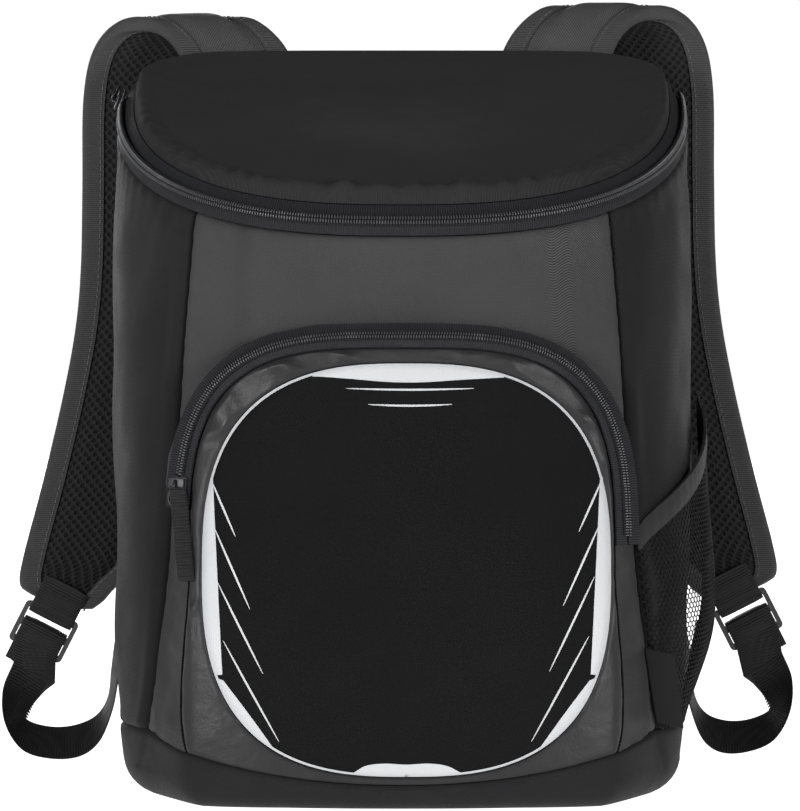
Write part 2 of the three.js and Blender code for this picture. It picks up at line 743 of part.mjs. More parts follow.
for (const [name, side] of sidesOfBag) {
  add(`strap_pad_${name}`, strapLayer(side, ({ top, split }) => [top, split + seamGap]), materials.shell);
  add(`strap_lining_${name}`, strapLayer(side, ({ split, under }) => [split, under]), materials.mesh);
  for (const [where, edge] of [['outer', 1], ['inner', -1]])
    add(`strap_binding_${name}_${where}`, wallSolid(strapStops.map((at) =>
      strapBindingRow(side, at, edge))), materials.webbing);
}

// Ladder locks, in a frame whose across runs along the bars and whose upwards points to the strap
const lockCentre = (side) => new THREE.Vector3(side * (192.4 + 1.6 * strapShift(side)), 136.5,
  67.2 + strapLift(side) * 1.1);

function lockBasis(side) {
  const across = new THREE.Vector3(cos(lockTilt), 0, side * sin(lockTilt));
  const upwards = new THREE.Vector3(-side * sin(lockTilt), 0, cos(lockTilt));
  return new THREE.Matrix4().makeBasis(across, upwards, new THREE.Vector3(0, -1, 0))
    .setPosition(lockCentre(side));
}

function roundedOutline(path, width, length, radius, y = 0) {
  const corners = [[1, 1, 0], [-1, 1, 1], [-1, -1, 2], [1, -1, 3]];
  for (const [sx, sy, quarter] of corners) {
    const [cx, cy] = [sx * (width / 2 - radius), y + sy * (length / 2 - radius)];
    path.absarc(cx, cy, radius, (quarter * PI) / 2, ((quarter + 1) * PI) / 2, false);
  }
  return path.closePath();
}

function lockSolid(side) {
  const shape = roundedOutline(new THREE.Shape(), lockWidth, lockLength, 2.5);
  const window = { width: lockWidth - 5, length: (lockLength - 3 * lockBar) / 2 + 0.2 };
  const offset = lockBar / 2 + window.length / 2;
  for (const y of [offset, -offset])
    shape.holes.push(roundedOutline(new THREE.Path(), window.width, window.length, 0.6, y));
  const plate = new THREE.ExtrudeGeometry(shape, {
    depth: lockThickness, bevelEnabled: false, curveSegments: 3,
  });
  return plate.translate(0, 0, -lockThickness / 2).applyMatrix4(lockBasis(side));
}

// A flat ribbon through stations, each the two ends of its width
function ribbon(stations, thickness) {
  return wallSolid(stations.map(([a, b], i) => {
    const middle = ([p, q]) => p.clone().add(q).divideScalar(2);
    const next = stations[min(i + 1, stations.length - 1)];
    const before = stations[max(i - 1, 0)];
    const along = middle(next).sub(middle(before));
    const out = b.clone().sub(a).cross(along).normalize().multiplyScalar(thickness / 2);
    return [[a.clone().add(out), a.clone().sub(out)], [b.clone().add(out), b.clone().sub(out)]];
  }));
}

// A ribbon bent round a bar of the lock: rows give its height up the lock and its distance in front of it
function lockRibbon(side, rows, width) {
  return rows.map(({ upwards, front }) => [-1, 1].map((edge) =>
    new THREE.Vector3((edge * side * width) / 2, upwards, front).applyMatrix4(lockBasis(side))));
}

const loopRows = [
  { upwards: 28, front: 5.4 },
  { upwards: 15, front: 5.4 },
  { upwards: 12.6, front: 4.9 },
  { upwards: 10.4, front: 3.3 },
  { upwards: 8.4, front: 3.3 },
  { upwards: 7.2, front: 2.1 },
  { upwards: 7.2, front: -2.1 },
  { upwards: 8.4, front: -3.3 },
  { upwards: 10.4, front: -3.3 },
  { upwards: 12.6, front: -5.6 },
  { upwards: 15, front: -6.2 },
  { upwards: 28, front: -8.3 },
];
const wrapRows = [
  { upwards: -22, front: -5 },
  { upwards: -13, front: -3.6 },
  { upwards: 1.9, front: -3.2 },
  { upwards: 3.1, front: -2 },
  { upwards: 3.1, front: 2 },
  { upwards: 1.9, front: 3.2 },
  { upwards: -10, front: 3.2 },
];

// The adjuster webbing below the lock, as the two edges of its loop back to the tub's lower corner
const webbingPath = [
  { x: 208.6, y: 133.2, z: 50.5, x2: 186.3, y2: 134.2, z2: 39.3 },
  { x: 213.8, y: 126, z: 36.3, x2: 193.6, y2: 138, z2: 33 },
  { x: 211.5, y: 111, z: 20.5, x2: 201.5, y2: 133, z2: 22.6 },
  { x: 202, y: 105, z: 6.8, x2: 198.5, y2: 126, z2: 19.3 },
  { x: 187, y: 103, z: 2.2, x2: 186.5, y2: 123, z2: 17 },
  { x: 171.5, y: 102, z: 3.4, x2: 174.1, y2: 122, z2: 18.3 },
  { x: 160.7, y: 101, z: 11.5, x2: 163.4, y2: 123, z2: 23.3 },
  { x: 153.8, y: 100, z: 27.8, x2: 157.2, y2: 124, z2: 33.1 },
  { x: 150.4, y: 98, z: 43.9, x2: 155.1, y2: 122, z2: 49.2 },
  { x: 147.2, y: 95, z: 57, x2: 152.4, y2: 116, z2: 67 },
  { x: 144.2, y: 93.5, z: 66, x2: 147.5, y2: 109, z2: 82 },
].map((row, at) => ({ ...row, at }));

function webbingStations(side) {
  const lift = strapLift(side);
  const edge = (at, x, y, z) => {
    const [px, py, pz] = [x, y, z].map((name) => column(webbingPath, 'at', name)(at));
    const high = clamp((px - 150) / 60, 0, 1);
    return new THREE.Vector3(side * (px + 1.2 * high * strapShift(side)), py, pz + lift * high);
  };
  const count = 26;
  const loop = steps(count).map((share) => {
    const at = share * (webbingPath.length - 1);
    return [edge(at, 'x2', 'y2', 'z2'), edge(at, 'x', 'y', 'z')];
  });
  return [...lockRibbon(side, wrapRows, webbingWidth), ...loop];
}

for (const [name, side] of sidesOfBag) {
  add(`ladder_lock_${name}`, lockSolid(side), materials.plastic);
  add(`buckle_loop_${name}`, ribbon(lockRibbon(side, loopRows, webbingWidth), webbingThickness),
    materials.webbing);
  add(`adjuster_webbing_${name}`, ribbon(webbingStations(side), webbingThickness), materials.webbing);
}

// Cloth tab that holds the webbing's end in the seam between the side and back panels
for (const [name, side] of sidesOfBag) {
  const [inner, outer] = webbingStations(side).at(-1);
  const seam = [62, 62 + anchorPatch].map((z) => tubPoint(side * backSeam, z, -1));
  add(`webbing_anchor_${name}`, ribbon([
    seam,
    [seam[0].clone().lerp(outer, 0.8), seam[1].clone().lerp(inner, 0.8)],
  ], webbingThickness), materials.webbing);
}
export default bag;
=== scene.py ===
"""Cooler backpack: cloth, seams, zips, net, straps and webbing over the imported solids."""

import json
import math

import bmesh
import bpy
import numpy as np
from bpy.props import FloatProperty, FloatVectorProperty, IntProperty, PointerProperty
from mathutils import Matrix, Vector

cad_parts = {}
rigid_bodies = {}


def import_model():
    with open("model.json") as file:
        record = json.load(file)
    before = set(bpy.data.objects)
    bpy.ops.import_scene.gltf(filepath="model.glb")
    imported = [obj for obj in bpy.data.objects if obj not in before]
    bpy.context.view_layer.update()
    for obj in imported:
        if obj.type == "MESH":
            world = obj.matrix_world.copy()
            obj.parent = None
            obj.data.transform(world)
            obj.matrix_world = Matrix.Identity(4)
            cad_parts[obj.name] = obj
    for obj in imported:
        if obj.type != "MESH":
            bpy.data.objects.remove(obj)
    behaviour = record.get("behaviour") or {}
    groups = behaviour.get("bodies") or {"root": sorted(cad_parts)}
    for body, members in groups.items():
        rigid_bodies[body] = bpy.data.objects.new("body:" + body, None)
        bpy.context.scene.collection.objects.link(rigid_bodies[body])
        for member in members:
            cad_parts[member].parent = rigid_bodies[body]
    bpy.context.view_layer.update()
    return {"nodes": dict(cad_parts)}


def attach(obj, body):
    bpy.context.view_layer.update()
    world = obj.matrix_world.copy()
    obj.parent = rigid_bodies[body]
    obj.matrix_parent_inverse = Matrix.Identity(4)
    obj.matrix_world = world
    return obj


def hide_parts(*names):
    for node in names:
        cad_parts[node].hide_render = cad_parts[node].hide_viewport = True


bl_info = {
    "name": "Cooler backpack",
    "version": (1, 0, 0),
    "blender": (4, 5, 0),
    "location": "3D View > Sidebar > Cooler bag",
    "description": "Makes the cloth, zips, net, straps and webbing of an insulated cooler backpack",
    "category": "Add Mesh",
}

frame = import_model()

PI = math.pi
MM = 0.001

# Shape of the bag, in millimetres. X runs across, the front faces -Y, Z is up.
HALF_WIDTH = 150
BACK_REACH = 100
FRONT_REACH = 84
WIDEST_BEHIND = 70
WALL = 6
SEAM_GAP = 0.35
FLOOR = 5
BOTTOM_ROUND = 14
BACK_BOXINESS = 4
ZIP_FRONT = 288
ZIP_BACK = 360.5
BOOT_FRONT = 12.2
BOOT_CORNER = 34.5
BOOT_SIDE = 30
BOOT_DIP = 2.1
LID_THICKNESS = 9
LID_LOFT = 10
TAPE_DROP = 6.5
TAPE_THICKNESS = 1.2
LID_RISE = 8 * math.sin(math.radians(52))
LID_INSET = 2.4 + 8 * math.cos(math.radians(35))
LID_ZIP_END = math.radians(112)
BACK_SEAM = math.radians(124)
POCKET_DEPTH = 22
POCKET_TOP_DEPTH = 0.55
POCKET_WALL = 2.2
POCKET_MIDDLE = 118
PANEL_HALF_WIDTH = 101
PANEL_HALF_HEIGHT = 101.5
PANEL_SHIFT = 2.2
PANEL_CROWN = 5
PANEL_ROUNDNESS = 2.7
PANEL_GAP = 0.17
BORDER_HALF_WIDTH = 105
BORDER_HALF_HEIGHT = 108.4
BORDER_ROUNDNESS = 3.4
BORDER_FLARE = 4.5
ZIP_END_LEFT = 152
ZIP_END_RIGHT = 134
GUSSET_HIGH = 9.5
GUSSET_LOW = 14.5
NET_BULGE = 15
NET_WIDTH = 118.0
NET_LOW = BOOT_SIDE + 4
NET_FRONT = 126
NET_BACK = 188
NET_BACK_ANGLE = math.radians(100)
WEBBING_WIDTH = 25
WEBBING_THICKNESS = 1.3
LOCK_TILT = math.radians(27)


def lerp(a, b, t):
    return a + (b - a) * t


def smoothstep(x, low, high):
    t = np.clip((x - low) / (high - low), 0, 1)
    return t * t * (3 - 2 * t)


def column(rows, along=0, value=1):
    """A smooth curve through one column of a table whose rows are in order."""
    xs = np.array([row[along] for row in rows], float)
    ys = np.array([row[value] for row in rows], float)
    last = len(xs) - 1
    before = np.maximum(np.arange(last + 1) - 1, 0)
    after = np.minimum(np.arange(last + 1) + 1, last)
    slopes = (ys[after] - ys[before]) / (xs[after] - xs[before])

    def at(v):
        v = np.asarray(v, float)
        k = np.clip(np.searchsorted(xs, v, side="left") - 1, 0, last - 1)
        span = xs[k + 1] - xs[k]
        t = np.clip((v - xs[k]) / span, 0, 1)
        return (
            (2 * t**3 - 3 * t**2 + 1) * ys[k]
            + (t**3 - 2 * t**2 + t) * span * slopes[k]
            + (3 * t**2 - 2 * t**3) * ys[k + 1]
            + (t**3 - t**2) * span * slopes[k + 1]
        )

    return at


def through(points, count):
    """Points evenly spread along a smooth line through a few given ones."""
    points = np.asarray(points, float)
    fine = np.linspace(0, len(points) - 1, 40 * len(points))
    rows = [[i, *p] for i, p in enumerate(points)]
    line = np.stack([column(rows, 0, 1 + k)(fine) for k in range(points.shape[1])], axis=-1)
    length = np.concatenate([[0], np.cumsum(np.linalg.norm(np.diff(line, axis=0), axis=1))])
    even = np.linspace(0, length[-1], count)
    return np.stack([np.interp(even, length, line[:, k]) for k in range(points.shape[1])], axis=-1)


def ripple(points, wavelength, seed):
    """Smooth waves in no one direction, about -1.5 to 1.5."""
    count = 7
    rng = np.random.default_rng(seed)
    total = np.zeros(points.shape[:-1])
    for _ in range(count):
        direction = rng.normal(size=3)
        direction /= np.linalg.norm(direction)
        turn = 2 * PI / (wavelength * rng.uniform(0.7, 1.5))
        total = total + np.sin(points @ direction * turn + rng.uniform(0, 2 * PI))
    return total / math.sqrt(count)


def crease(points, wavelength, seed):
    """Narrow folds, 0 to 1, along the crests of two sets of waves."""
    a = 1 - np.abs(np.clip(ripple(points, wavelength, seed), -1, 1))
    b = 1 - np.abs(np.clip(ripple(points, wavelength * 1.6, seed + 1), -1, 1))
    return a**5 * 0.6 + b**6 * 0.7


def roll(distance, width, depth):
    """How deep a padded edge has rolled in, this far from its seam."""
    t = np.clip(distance / width, 0, 1)
    return depth * (1 - np.sqrt(np.maximum(1 - (1 - t) ** 2, 0)))


def unit(v):
    return v / np.maximum(np.linalg.norm(v, axis=-1, keepdims=True), 1e-9)


# Tub

# Plan of the tub: share of the height, shares of the half width and front reach there, and boxiness
tub_sections = [
    (0.0, 0.94, 1.0, 4.6),
    (0.09, 0.966, 1.0, 4.4),
    (0.31, 0.985, 1.0, 3.7),
    (0.56, 1.0, 0.98, 3.05),
    (0.8, 0.991, 0.92, 2.5),
    (1.0, 0.985, 0.88, 2.35),
]
width_share = column(tub_sections, 0, 1)
reach_share = column(tub_sections, 0, 2)
boxiness_at = column(tub_sections, 0, 3)
# Where the front seams stand, as a share of the half width, from the boot's corner up to the zip
seam_share = column(
    [(0, 0.857), (0.14, 0.822), (0.28, 0.793), (0.43, 0.768), (0.6, 0.749), (0.78, 0.731), (1, 0.7)]
)
zip_slope = (ZIP_BACK - ZIP_FRONT) / (BACK_REACH + FRONT_REACH * float(reach_share(0.8)))


def section_at(z):
    share = np.asarray(z, float) / ZIP_BACK
    return (
        HALF_WIDTH * width_share(share),
        WIDEST_BEHIND + FRONT_REACH * reach_share(share),
        boxiness_at(share),
    )


def from_front(angle):
    return np.arccos(np.cos(angle))


def outline(angle, z):
    """The tub's plan at a height. Angle 0 is the middle of the front."""
    width, reach, boxiness = section_at(z)
    s, c = np.sin(angle), np.cos(angle)
    power = np.where(c >= 0, boxiness, BACK_BOXINESS)
    depth = np.where(c >= 0, reach, BACK_REACH - WIDEST_BEHIND)
    size = (np.abs(s) ** power + np.abs(c) ** power) ** (-1 / power)
    return width * size * s, WIDEST_BEHIND - depth * size * c


def inset_outline(angle, z, inset, bulge=None):
    """The tub's plan moved in by an inset, square to the outline; bulge pushes the front out first."""
    def at(a):
        x, y = outline(a, z)
        return (x, y) if bulge is None else (x, np.where(np.cos(a) > 0, y - bulge(x, z), y))

    (x1, y1), (x0, y0) = at(angle + 0.012), at(angle - 0.012)
    length = np.hypot(x1 - x0, y1 - y0)
    x, y = at(angle)
    return x - (y1 - y0) / length * inset, y + (x1 - x0) / length * inset


def tub_point(angle, z, inset):
    x, y = inset_outline(angle, z, inset)
    return np.stack(np.broadcast_arrays(x, y, z), axis=-1)


def tub_front(x, z):
    """Depth of the tub's front at a place across and a height."""
    width, reach, boxiness = section_at(z)
    share = np.minimum(np.abs(x) / width, 1)
    return WIDEST_BEHIND - reach * (1 - share**boxiness) ** (1 / boxiness)


def seam_angle(rise):
    """Angle of the front seams, at a share of the way from the boot's corner to the zip."""
    width, _, boxiness = section_at(lerp(BOOT_CORNER, ZIP_FRONT, rise))
    part = (seam_share(rise) * HALF_WIDTH / width) ** boxiness
    return np.arctan((part / (1 - part)) ** (1 / boxiness))


corner_x = float(seam_share(0)) * HALF_WIDTH
corner_angle = float(seam_angle(0))


def boot_seam_at(x):
    return lerp(BOOT_FRONT, BOOT_CORNER, np.minimum(np.abs(x) / corner_x, 1) ** BOOT_DIP)


def boot_seam(angle):
    x, _ = outline(angle, BOOT_CORNER)
    turn = from_front(angle)
    behind = lerp(BOOT_CORNER, BOOT_SIDE, smoothstep(turn, corner_angle, PI / 2))
    return np.where(turn < corner_angle, boot_seam_at(x), behind)


def zip_height(y):
    return ZIP_BACK - (BACK_REACH - y) * zip_slope


def rim_point(angle, inset, rise):
    """A point near the zip line, moved in from the tub's outline and up from the zip's plane."""
    angle = np.asarray(angle, float)
    z = np.full(angle.shape, float(ZIP_FRONT))
    for _ in range(8):
        z = zip_height(outline(angle, z)[1])
    x, y = inset_outline(angle, z, inset)
    return np.stack([x, y, zip_height(y) + rise], axis=-1)


def wall_top(angle):
    """Height where the walls end: under the zip's tape, or up at the lid's seam behind the zip's ends."""
    behind = smoothstep(from_front(angle), LID_ZIP_END + 0.13, LID_ZIP_END + 0.21)
    return rim_point(angle, 0, lerp(-TAPE_DROP, LID_RISE - 1, behind))[..., 2] - SEAM_GAP


def pocket_bulge(x, z):
    across = 1 - smoothstep(np.abs(x), 0.8 * corner_x, 1.02 * corner_x)
    up = lerp(1, POCKET_TOP_DEPTH, smoothstep(z, POCKET_MIDDLE / 2, POCKET_MIDDLE + PANEL_HALF_HEIGHT))
    return POCKET_DEPTH * across * up


def pocket_skin(x, z):
    return tub_front(x, z) - pocket_bulge(x, z)


# Making meshes


def lay_out(grid):
    """A flat place for each point of a grid of points, in metres, so that a weave keeps its scale."""
    along = np.linalg.norm(np.diff(grid, axis=0), axis=-1)
    up = np.linalg.norm(np.diff(grid, axis=1), axis=-1)
    u = np.concatenate([np.zeros((1, grid.shape[1])), np.cumsum(along, axis=0)])
    v = np.concatenate([np.zeros((grid.shape[0], 1)), np.cumsum(up, axis=1)], axis=1)
    flat = np.stack([u.mean(axis=1, keepdims=True) + 0 * v, v], axis=-1)
    return flat * MM


def new_object(name, points, faces, flats, material, sharp=40):
    """A mesh object from points in millimetres, faces by index, and a flat place for each corner."""
    mesh = bpy.data.meshes.new(name)
    mesh.from_pydata((np.asarray(points) * MM).tolist(), [], faces)
    layer = mesh.uv_layers.new(name="UVMap")
    layer.data.foreach_set("uv", np.asarray(flats, float).ravel())
    mesh.polygons.foreach_set("use_smooth", [True] * len(mesh.polygons))
    obj = bpy.data.objects.new(name, mesh)
    bpy.context.scene.collection.objects.link(obj)
    tidy = bmesh.new()
    tidy.from_mesh(mesh)
    bmesh.ops.remove_doubles(tidy, verts=tidy.verts, dist=1e-6)
    bmesh.ops.dissolve_degenerate(tidy, edges=tidy.edges, dist=1e-7)
    if tidy.calc_volume(signed=True) < 0:
        bmesh.ops.reverse_faces(tidy, faces=tidy.faces)
    tidy.to_mesh(mesh)
    tidy.free()
    mesh.set_sharp_from_angle(angle=math.radians(sharp))
    mesh.materials.append(material)
    return obj


def shell(name, outer, inner, material, wrap=False, flat=None, sharp=40):
    """A closed wall between two grids of points. wrap joins the last row to the first."""
    rows, columns = outer.shape[:2]
    full = np.concatenate([outer, outer[:1]]) if wrap else outer
    flat = lay_out(full) if flat is None else flat
    if flat.shape[0] == rows and wrap:
        flat = np.concatenate([flat, flat[:1]])
    points = np.concatenate([outer.reshape(-1, 3), inner.reshape(-1, 3)])
    faces, corners = [], []
    under = rows * columns

    def at(i, j, side):
        return (i % rows) * columns + j + side * under

    def face(*stations):
        faces.append([at(*s) for s in stations])
        corners.extend(flat[i, j] for i, j, _ in stations)

    spans = rows if wrap else rows - 1
    last = columns - 1
    for i in range(spans):
        for j in range(last):
            face((i, j, 0), (i + 1, j, 0), (i + 1, j + 1, 0), (i, j + 1, 0))
            face((i, j, 1), (i, j + 1, 1), (i + 1, j + 1, 1), (i + 1, j, 1))
        face((i, last, 0), (i + 1, last, 0), (i + 1, last, 1), (i, last, 1))
        face((i, 0, 0), (i, 0, 1), (i + 1, 0, 1), (i + 1, 0, 0))
    if not wrap:
        for j in range(last):
            face((0, j, 0), (0, j + 1, 0), (0, j + 1, 1), (0, j, 1))
            face((rows - 1, j, 0), (rows - 1, j, 1), (rows - 1, j + 1, 1), (rows - 1, j + 1, 0))
    return new_object(name, points, faces, corners, material, sharp)


def closed_skin(name, grid, material, flat=None, ends=False):
    """A closed form from rings of points; each ring closes on itself. ends caps the first and last ring."""
    rows, columns = grid.shape[:2]
    full = np.concatenate([grid, grid[:, :1]], axis=1)
    flat = lay_out(full) if flat is None else flat
    faces, corners = [], []
    for i in range(rows - 1):
        for j in range(columns):
            k = (j + 1) % columns
            faces.append([i * columns + j, (i + 1) * columns + j, (i + 1) * columns + k, i * columns + k])
            corners += [flat[i, j], flat[i + 1, j], flat[i + 1, j + 1], flat[i, j + 1]]
    if ends:
        faces.append(list(range(columns)))
        corners += [flat[0, j] for j in range(columns)]
        faces.append([(rows - 1) * columns + j for j in reversed(range(columns))])
        corners += [flat[rows - 1, j] for j in reversed(range(columns))]
    return new_object(name, grid.reshape(-1, 3), faces, corners, material, sharp=60)


def dress(obj, slot, *nodes):
    """Puts a finished piece on the bag in place of its solids."""
    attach(obj, "root")
    if nodes:
        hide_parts(*nodes)
    return obj


def joined(name, objects):
    """Several objects as one, with their materials."""
    bpy.ops.object.select_all(action="DESELECT")
    for obj in objects:
        obj.select_set(True)
    bpy.context.view_layer.objects.active = objects[0]
    bpy.ops.object.join()
    objects[0].name = name
    objects[0].data.name = name
    return objects[0]


def edge_distances(grid):
    """How far each point of a grid is from its four edges: left, right, bottom and top."""
    along = np.concatenate(
        [np.zeros((1, grid.shape[1])), np.cumsum(np.linalg.norm(np.diff(grid, axis=0), axis=-1), axis=0)]
    )
    up = np.concatenate(
        [np.zeros((grid.shape[0], 1)), np.cumsum(np.linalg.norm(np.diff(grid, axis=1), axis=-1), axis=1)],
        axis=1,
    )
    return along, along[-1:] - along, up, up[:, -1:] - up


def dense_ends(count):
    """Shares from 0 to 1 that are closer together at both ends."""
    t = np.linspace(0, 1, count)
    return lerp(t, 0.5 - 0.5 * np.cos(PI * t), 0.55)


# Repeats made with geometry nodes


class Tree:
    """A geometry node tree that is wired up in a few words."""

    def __init__(self, name, inputs):
        self.group = bpy.data.node_groups.new(name, "GeometryNodeTree")
        self.ids = {}
        self.group.interface.new_socket(name="Geometry", in_out="INPUT", socket_type="NodeSocketGeometry")
        for label, kind in inputs:
            socket = self.group.interface.new_socket(name=label, in_out="INPUT", socket_type=kind)
            self.ids[label] = socket.identifier
        self.group.interface.new_socket(name="Geometry", in_out="OUTPUT", socket_type="NodeSocketGeometry")
        self.source = self.group.nodes.new("NodeGroupInput")
        self.sink = self.group.nodes.new("NodeGroupOutput")

    def add(self, kind, links=(), **settings):
        node = self.group.nodes.new(kind)
        for key, value in settings.items():
            setattr(node, key, value)
        for socket, source in links:
            if hasattr(source, "is_linked"):
                self.group.links.new(source, node.inputs[socket])
            else:
                node.inputs[socket].default_value = source
        return node

    def value(self, label):
        return self.source.outputs[label]

    def finish(self, geometry):
        self.group.links.new(geometry, self.sink.inputs["Geometry"])
        return self


def repeat_tree():
    """Copies of a shape along lines, each turned to the line and to the surface's outward direction."""
    tree = Tree(
        "Repeat along a line",
        [("Spacing", "NodeSocketFloat"), ("Shape", "NodeSocketObject"), ("Material", "NodeSocketMaterial")],
    )
    line = tree.add("GeometryNodeMeshToCurve", [("Mesh", tree.value("Geometry"))])
    even = tree.add(
        "GeometryNodeResampleCurve",
        [("Curve", line.outputs["Curve"]), ("Length", tree.value("Spacing"))],
        mode="LENGTH",
    )
    shape = tree.add("GeometryNodeObjectInfo", [("Object", tree.value("Shape"))])
    out = tree.add("GeometryNodeInputNamedAttribute", [("Name", "out")], data_type="FLOAT_VECTOR")
    tangent = tree.add("GeometryNodeInputTangent")
    turn = tree.add(
        "FunctionNodeAxesToRotation",
        [("Primary Axis", out.outputs["Attribute"]), ("Secondary Axis", tangent.outputs["Tangent"])],
        primary_axis="Z",
        secondary_axis="X",
    )
    copies = tree.add(
        "GeometryNodeInstanceOnPoints",
        [
            ("Points", even.outputs["Curve"]),
            ("Instance", shape.outputs["Geometry"]),
            ("Rotation", turn.outputs["Rotation"]),
        ],
    )
    real = tree.add("GeometryNodeRealizeInstances", [("Geometry", copies.outputs["Instances"])])
    painted = tree.add(
        "GeometryNodeSetMaterial",
        [("Geometry", real.outputs["Geometry"]), ("Material", tree.value("Material"))],
    )
    return tree.finish(painted.outputs["Geometry"])


def thread_tree():
    """Round threads along the edges of a mesh."""
    tree = Tree(
        "Threads along edges",
        [("Radius", "NodeSocketFloat"), ("Sides", "NodeSocketInt"), ("Material", "NodeSocketMaterial")],
    )
    line = tree.add("GeometryNodeMeshToCurve", [("Mesh", tree.value("Geometry"))])
    ring = tree.add(
        "GeometryNodeCurvePrimitiveCircle",
        [("Resolution", tree.value("Sides")), ("Radius", tree.value("Radius"))],
        mode="RADIUS",
    )
    tube = tree.add(
        "GeometryNodeCurveToMesh",
        [("Curve", line.outputs["Curve"]), ("Profile Curve", ring.outputs["Curve"]), ("Fill Caps", True)],
    )
    real = tree.add("GeometryNodeRealizeInstances", [("Geometry", tube.outputs["Mesh"])])
    painted = tree.add(
        "GeometryNodeSetMaterial",
        [("Geometry", real.outputs["Geometry"]), ("Material", tree.value("Material"))],
    )
    return tree.finish(painted.outputs["Geometry"])


def grow(name, guide, tree, values):
    """Runs a tree on a guide object and leaves a plain mesh in its place."""
    modifier = guide.modifiers.new("Grow", "NODES")
    modifier.node_group = tree.group
    for label, value in values.items():
        modifier[tree.ids[label]] = value
    ready = guide.evaluated_get(bpy.context.evaluated_depsgraph_get())
    mesh = bpy.data.meshes.new_from_object(ready)
    mesh.name = name
    guide.modifiers.remove(modifier)
    obj = bpy.data.objects.new(name, mesh)
    bpy.context.scene.collection.objects.link(obj)
    bpy.data.objects.remove(guide)
    mesh.polygons.foreach_set("use_smooth", [True] * len(mesh.polygons))
    mesh.set_sharp_from_angle(angle=math.radians(50))
    return obj


def guide_of(lines):
    """A mesh of bare lines, each a row of points in millimetres with the outward direction at each."""
    points, edges, outs = [], [], []
    for line, out in lines:
        start = len(points)
        points += (np.asarray(line) * MM).tolist()
        outs.append(np.asarray(out, float))
        edges += [(start + i, start + i + 1) for i in range(len(line) - 1)]
    mesh = bpy.data.meshes.new("guide")
    mesh.from_pydata(points, edges, [])
    attribute = mesh.attributes.new("out", "FLOAT_VECTOR", "POINT")
    attribute.data.foreach_set("vector", np.concatenate(outs).ravel())
    guide = bpy.data.objects.new("guide", mesh)
    bpy.context.scene.collection.objects.link(guide)
    return guide


def repeat(name, lines, shape, spacing, material):
    """Copies of a shape along lines, as one plain mesh."""
    tree = made("repeat", repeat_tree)
    obj = grow(
        name, guide_of(lines), tree, {"Spacing": spacing * MM, "Shape": shape, "Material": material}
    )
    bpy.data.objects.remove(shape)
    return obj


trees = {}


def made(key, maker):
    """A node tree, built once."""
    if key not in trees:
        trees[key] = maker()
    return trees[key]


def bar(length, width, height, sides=6):
    """A small bar with rounded ends along X, centred on the origin, for repeating."""
    rings = [(-0.5, 0.45), (-0.35, 1), (0.35, 1), (0.5, 0.45)]
    points, faces = [], []
    for at, size in rings:
        for k in range(sides):
            turn = 2 * PI * k / sides
            y, z = math.cos(turn) * width / 2 * size, math.sin(turn) * height / 2 * size
            points.append((at * length, y, z))
    for i in range(len(rings) - 1):
        for k in range(sides):
            n = (k + 1) % sides
            faces.append([i * sides + k, i * sides + n, (i + 1) * sides + n, (i + 1) * sides + k])
    faces.append(list(reversed(range(sides))))
    faces.append([(len(rings) - 1) * sides + k for k in range(sides)])
    flats = [(0, 0)] * sum(len(f) for f in faces)
    mesh = bpy.data.meshes.new("bar")
    mesh.from_pydata((np.array(points) * MM).tolist(), [], faces)
    layer = mesh.uv_layers.new(name="UVMap")
    layer.data.foreach_set("uv", np.array(flats, float).ravel())
    obj = bpy.data.objects.new("bar", mesh)
    bpy.context.scene.collection.objects.link(obj)
    return obj


def cross_bar(length, width, height):
    """The same bar turned to lie across the line."""
    obj = bar(length, width, height)
    obj.data.transform(Matrix.Rotation(PI / 2, 4, "Z"))
    return obj


def cut_start(line, out, length):
    """A line with its first stretch taken off."""
    steps = np.concatenate([[0], np.cumsum(np.linalg.norm(np.diff(line, axis=0), axis=1))])
    keep = np.linspace(length, steps[-1], len(line))
    pick = lambda a: np.stack([np.interp(keep, steps, a[:, k]) for k in range(3)], axis=-1)
    return pick(line), pick(out)


# Materials


